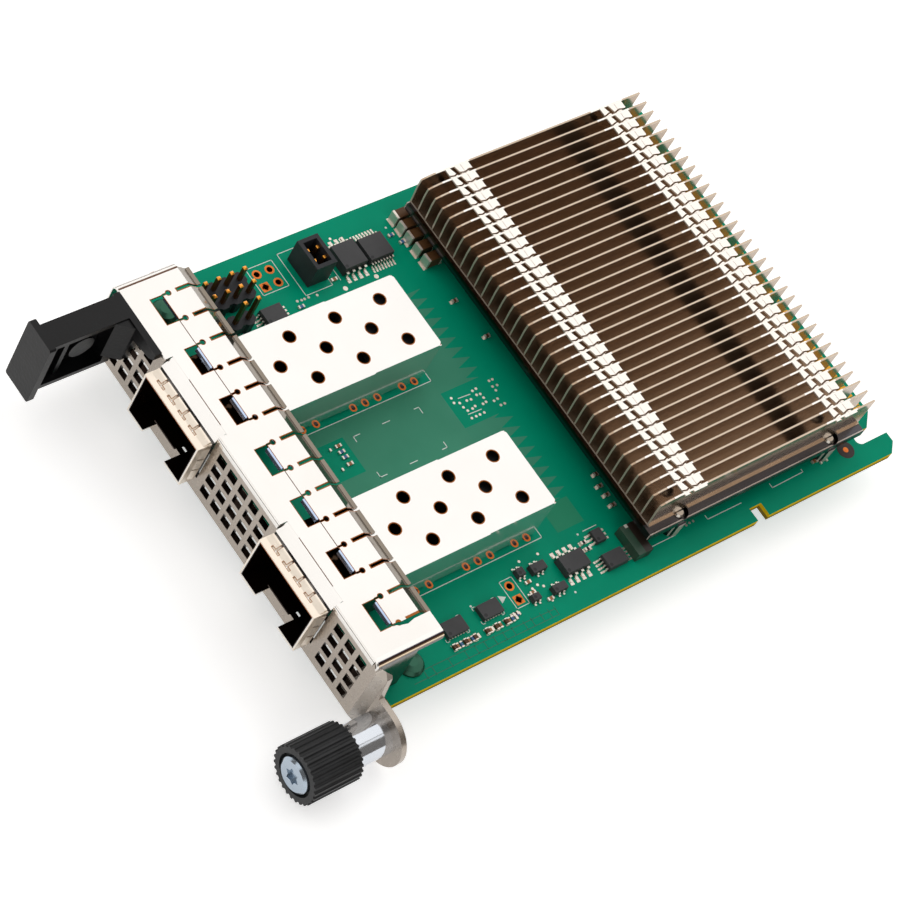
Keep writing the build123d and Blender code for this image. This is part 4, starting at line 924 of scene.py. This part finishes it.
def end_caps():
    """Tinned ends round the ceramic blocks, and their lands on the board."""
    made = bmesh.new()
    for x in large_capacitors:
        body = (x, x + large_wide, large_front, large_rear)
        cap_pair(made, body, height=2.2, share=0.13, along="y")
    for y in edge_capacitors:
        body = (edge_left, edge_right, y - small_half, y + small_half)
        cap_pair(made, body, height=0.5, share=0.14, along="x", reach=0.0)
    for places, height in ((sink_capacitors, 0.5), (resistor_places, 0.35)):
        for x, y in places:
            body = (x - small_half, x + small_half, y - long_half, y + long_half)
            cap_pair(made, body, height, share=0.28, along="y")
    new_piece("end_caps", made, tin)


# The row of tiny parts along the board's near edge, and the ones that lie elsewhere. A size is
# half a width, half a length and a height.
edge_row, edge_end, tiny_end = 34.5, 0.41, 0.42
edge_body, edge_cap, edge_land = (0.35, 0.2, 0.3), (0.11, 0.22, 0.32), (0.4, 0.2, 0.3)
tiny_body, tiny_cap, tiny_land = (0.26, 0.28, 0.34), (0.28, 0.14, 0.36), (0.25, 0.16, 0.3)
edge_tan, edge_blue, edge_pads = (21.1, 23.3, 27.6, 29.6, 31.4), (21.8, 24.0, 32.1), (25.2, 28.0, 32.8)
tan_places = (
    (-2.2, 24.2), (1.2, 24.1), (30.4, 38.3), (32.2, 37.9), (33.4, 98.6), (34.3, 40.0), (-28.0, 41.9),
)
blue_places = ((-1.1, 24.1), (-0.1, 24.1), (34.2, 33.2), (-31.4, 56.1), (-29.6, 57.2), (-25.8, 33.7))
bare_lands = (
    (-2.1, 22.6), (1.6, 22.4), (33.5, 99.2), (34.1, 99.6), (33.5, 100.3), (34.1, 100.9), (33.5, 101.4),
)


def tiny_parts():
    """The smallest surface parts: tan and blue bodies between tin lands."""
    caps = bmesh.new()
    for y in edge_pads:
        pad(caps, edge_row, y, *edge_land)
    rows = (
        ("tan_parts", part_tan, tan_places, edge_tan),
        ("blue_parts", part_blue, blue_places, edge_blue),
    )
    for name, finish, places, edge_places in rows:
        made = bmesh.new()
        for y in edge_places:
            pad(made, edge_row, y, *edge_body)
            for end in (-edge_end, edge_end):
                pad(caps, edge_row + end, y, *edge_cap)
        for x, y in places:
            pad(made, x, y, *tiny_body)
            for end in (-tiny_end, tiny_end):
                pad(caps, x, y + end, *tiny_cap)
        new_piece(name, made, finish)
    for x, y in bare_lands:
        pad(caps, x, y, *tiny_land)
    new_piece("part_ends", caps, tin)


# Painted shade along the bends by the windows, along the front fold and down the far end, each with its
# width
creases = [((x - 2.3, 5.95), (x + 2.3, 5.95), 0.13) for x in (-23.9, -14.4, 4.6, 14.1)]
creases += [((-16.9, 1.35), (-8.4, 1.35), 0.12), ((12.6, 1.35), (21.4, 1.35), 0.12)]
creases.append(((-34.6, 0.3), (-34.6, 11.0), 0.3))
crease_under, crease_over = 0.01, 0.012


def strip_creases():
    """Painted shade along the strip's bends: between its windows, along its front fold and at its far end.
    """
    made = bmesh.new()
    for start, end, width in creases:
        stroke(made, [start, end], width, strip_top - crease_under, strip_top + crease_over)
    new_piece("strip_creases", made, crease_shade)


# The lip's curve from the window's rear edge, as y and the height from the strip's top
lip_curve = ((6.02, -0.02), (5.94, -0.1), (5.8, -0.26), (5.66, -0.5), (5.56, -0.76))
lip_half, lip_thick = 1.9, 0.08


def window_lips():
    """The lip bent down and forward from the rear edge of each window but the first."""
    made = bmesh.new()
    for index in range(1, 7):
        middle = first_window + window_pitch * index
        row = [made.verts.new((middle - lip_half, y, strip_top + z)) for y, z in lip_curve]
        edges = [made.edges.new(pair) for pair in zip(row, row[1:])]
        grown = bmesh.ops.extrude_edge_only(made, edges=edges)
        bmesh.ops.translate(made, verts=new_corners(grown["geom"]), vec=(2 * lip_half, 0, 0))
    bmesh.ops.recalc_face_normals(made, faces=made.faces)
    bmesh.ops.solidify(made, geom=made.faces[:], thickness=lip_thick)
    # The lips' finish carries a painted reflection in blue-white
    new_piece("window_lips", made, lip_painted_reflection)


def wind(made, profile, centre, pitch, steps, count):
    """Winds a closed profile round the thumbscrew's axis, and closes both ends."""
    made.faces.new(profile)
    edges = [made.edges.get((profile[index - 1], profile[index])) for index in range(len(profile))]
    wound = bmesh.ops.spin(
        made, geom=profile + edges, cent=(centre.x, 0, centre.z), axis=(0, 1, 0),
        dvec=(0, pitch / steps, 0), angle=full_turn * count / steps, steps=count,
    )
    made.faces.new(new_corners(wound["geom_last"]))


def screw_thread():
    """The thread's ridge, wound round the thumbscrew's tip."""
    low, high = millimetres(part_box("thumbscrew_screw"))
    centre = (low + high) / 2
    start_y, end_y = -0.2, high.y - 0.35
    pitch, steps = 0.5, 20
    root, crest, root_half, crest_half = 1.49, 1.62, 0.16, 0.05
    made = bmesh.new()
    profile = []
    for radius, shift in ((root, -root_half), (crest, -crest_half), (crest, crest_half), (root, root_half)):
        profile.append(made.verts.new((centre.x + radius, start_y + shift, centre.z)))
    wind(made, profile, centre, pitch, steps, int((end_y - start_y) / pitch * steps))
    new_piece("screw_thread", made, bright_steel, "thumbscrew")


def push_spring():
    """The spring in round wire, which takes the place of the solid's spring."""
    low, high = millimetres(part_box("thumbscrew_spring"))
    centre = (low + high) / 2
    wire, turns, steps, sides = 0.2, 6, 24, 8
    radius = (high.x - low.x) / 2 - wire
    pitch = (high.y - low.y - 2 * wire) / turns
    made = bmesh.new()
    profile = []
    for index in range(sides):
        angle = full_turn * index / sides
        around, along = wire * math.cos(angle), wire * math.sin(angle)
        profile.append(made.verts.new((centre.x + radius + around, low.y + wire + along, centre.z)))
    wind(made, profile, centre, pitch, steps, turns * steps)
    piece = new_piece("push_spring", made, coil_steel, None)
    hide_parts("thumbscrew_spring")
    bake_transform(piece)


legend()
mask_lines()
rings()
solder()
end_caps()
tiny_parts()
strip_creases()
window_lips()
screw_thread()
push_spring()


def floor_paper():
    """A pale floor that a camera, a mirror or glass sees as nearly white, with its shadow."""
    made, shader, place = material("floor_paper")
    plug(shader, "Base Color", (0.86, 0.86, 0.86, 1))
    plug(shader, "Roughness", 0.9)
    plug(shader, "Specular IOR Level", 0.0)
    seen = place.node("ShaderNodeLightPath", out="Is Camera Ray")
    glossy = place.node("ShaderNodeLightPath", out="Is Glossy Ray")
    through = place.node("ShaderNodeLightPath", out="Is Transmission Ray")
    plug(shader, "Emission Strength", (seen + glossy + through) * 0.55)
    plug(shader, "Emission Color", (1, 1, 1, 1))
    return made


floor_half = 6.0
floor_gap = 0.0002


def floor():
    """A flat sheet just under the lowest point of the card."""
    made = bmesh.new()
    bmesh.ops.create_grid(made, x_segments=1, y_segments=1, size=floor_half)
    bmesh.ops.translate(made, verts=made.verts, vec=(0, 0, cad_box[0].z - floor_gap))
    mesh = bpy.data.meshes.new("floor")
    made.to_mesh(mesh)
    made.free()
    piece = bpy.data.objects.new("floor", mesh)
    bpy.context.scene.collection.objects.link(piece)
    mesh.materials.append(floor_paper())


def camera():
    """The fitted camera, with the picture's middle brought in by its shift."""
    data = bpy.data.cameras.new("camera")
    data.sensor_width = sensor_mm
    data.lens = focal_pixels / image_pixels * sensor_mm
    data.shift_x = (image_pixels / 2 - middle_pixel[0]) / image_pixels
    data.shift_y = (middle_pixel[1] - image_pixels / 2) / image_pixels
    data.clip_start = nearest_seen
    made = bpy.data.objects.new("camera", data)
    bpy.context.scene.collection.objects.link(made)
    turn = Matrix((camera_right, -camera_down, -camera_forward)).transposed()
    made.matrix_world = Matrix.Translation(camera_place) @ turn.to_4x4()
    bpy.context.scene.camera = made


# The soft lamps: name, place, width and height in metres, and radiance
lamps = (
    ("overhead", (-0.24, 0.48, 0.66), (1.3, 1.3), 1.12),
    ("left_front", (-0.75, -0.35, 0.45), (0.5, 0.5), 1.1),
    ("front", (-0.25, -0.72, 0.5), (0.5, 0.5), 1.1),
    ("top_front", (-0.25, -0.34, 0.76), (0.36, 0.36), 1.1),
    ("right_rear", (0.57, 0.58, 0.54), (0.12, 0.5), 1.0),
    ("right_front", (0.8, -0.35, 0.38), (0.9, 0.9), 0.8),
)
lit_point = Vector((0, 0.05, 0))
room_tone = (0.15, 0.135, 0.12, 1)


def softbox(name, place, size, radiance):
    """A rectangular soft lamp that shines from a place towards the card."""
    data = bpy.data.lights.new(name, "AREA")
    data.shape = "RECTANGLE"
    data.size, data.size_y = size
    data.energy = radiance * math.pi * size[0] * size[1]
    made = bpy.data.objects.new(name, data)
    bpy.context.scene.collection.objects.link(made)
    aim = lit_point - Vector(place)
    made.rotation_mode = "QUATERNION"
    made.rotation_quaternion = aim.to_track_quat("-Z", "Y")
    made.location = place


def studio():
    """Soft lamps overhead, in front and beside, and a dim warm room."""
    for name, place, size, radiance in lamps:
        softbox(name, place, size, radiance)
    world = bpy.data.worlds.new("room")
    bpy.context.scene.world = world
    world.use_nodes = True
    background = world.node_tree.nodes["Background"]
    background.inputs["Color"].default_value = room_tone
    background.inputs["Strength"].default_value = 1.0


floor()
camera()
studio()
bpy.context.scene.view_settings.view_transform = "Standard"
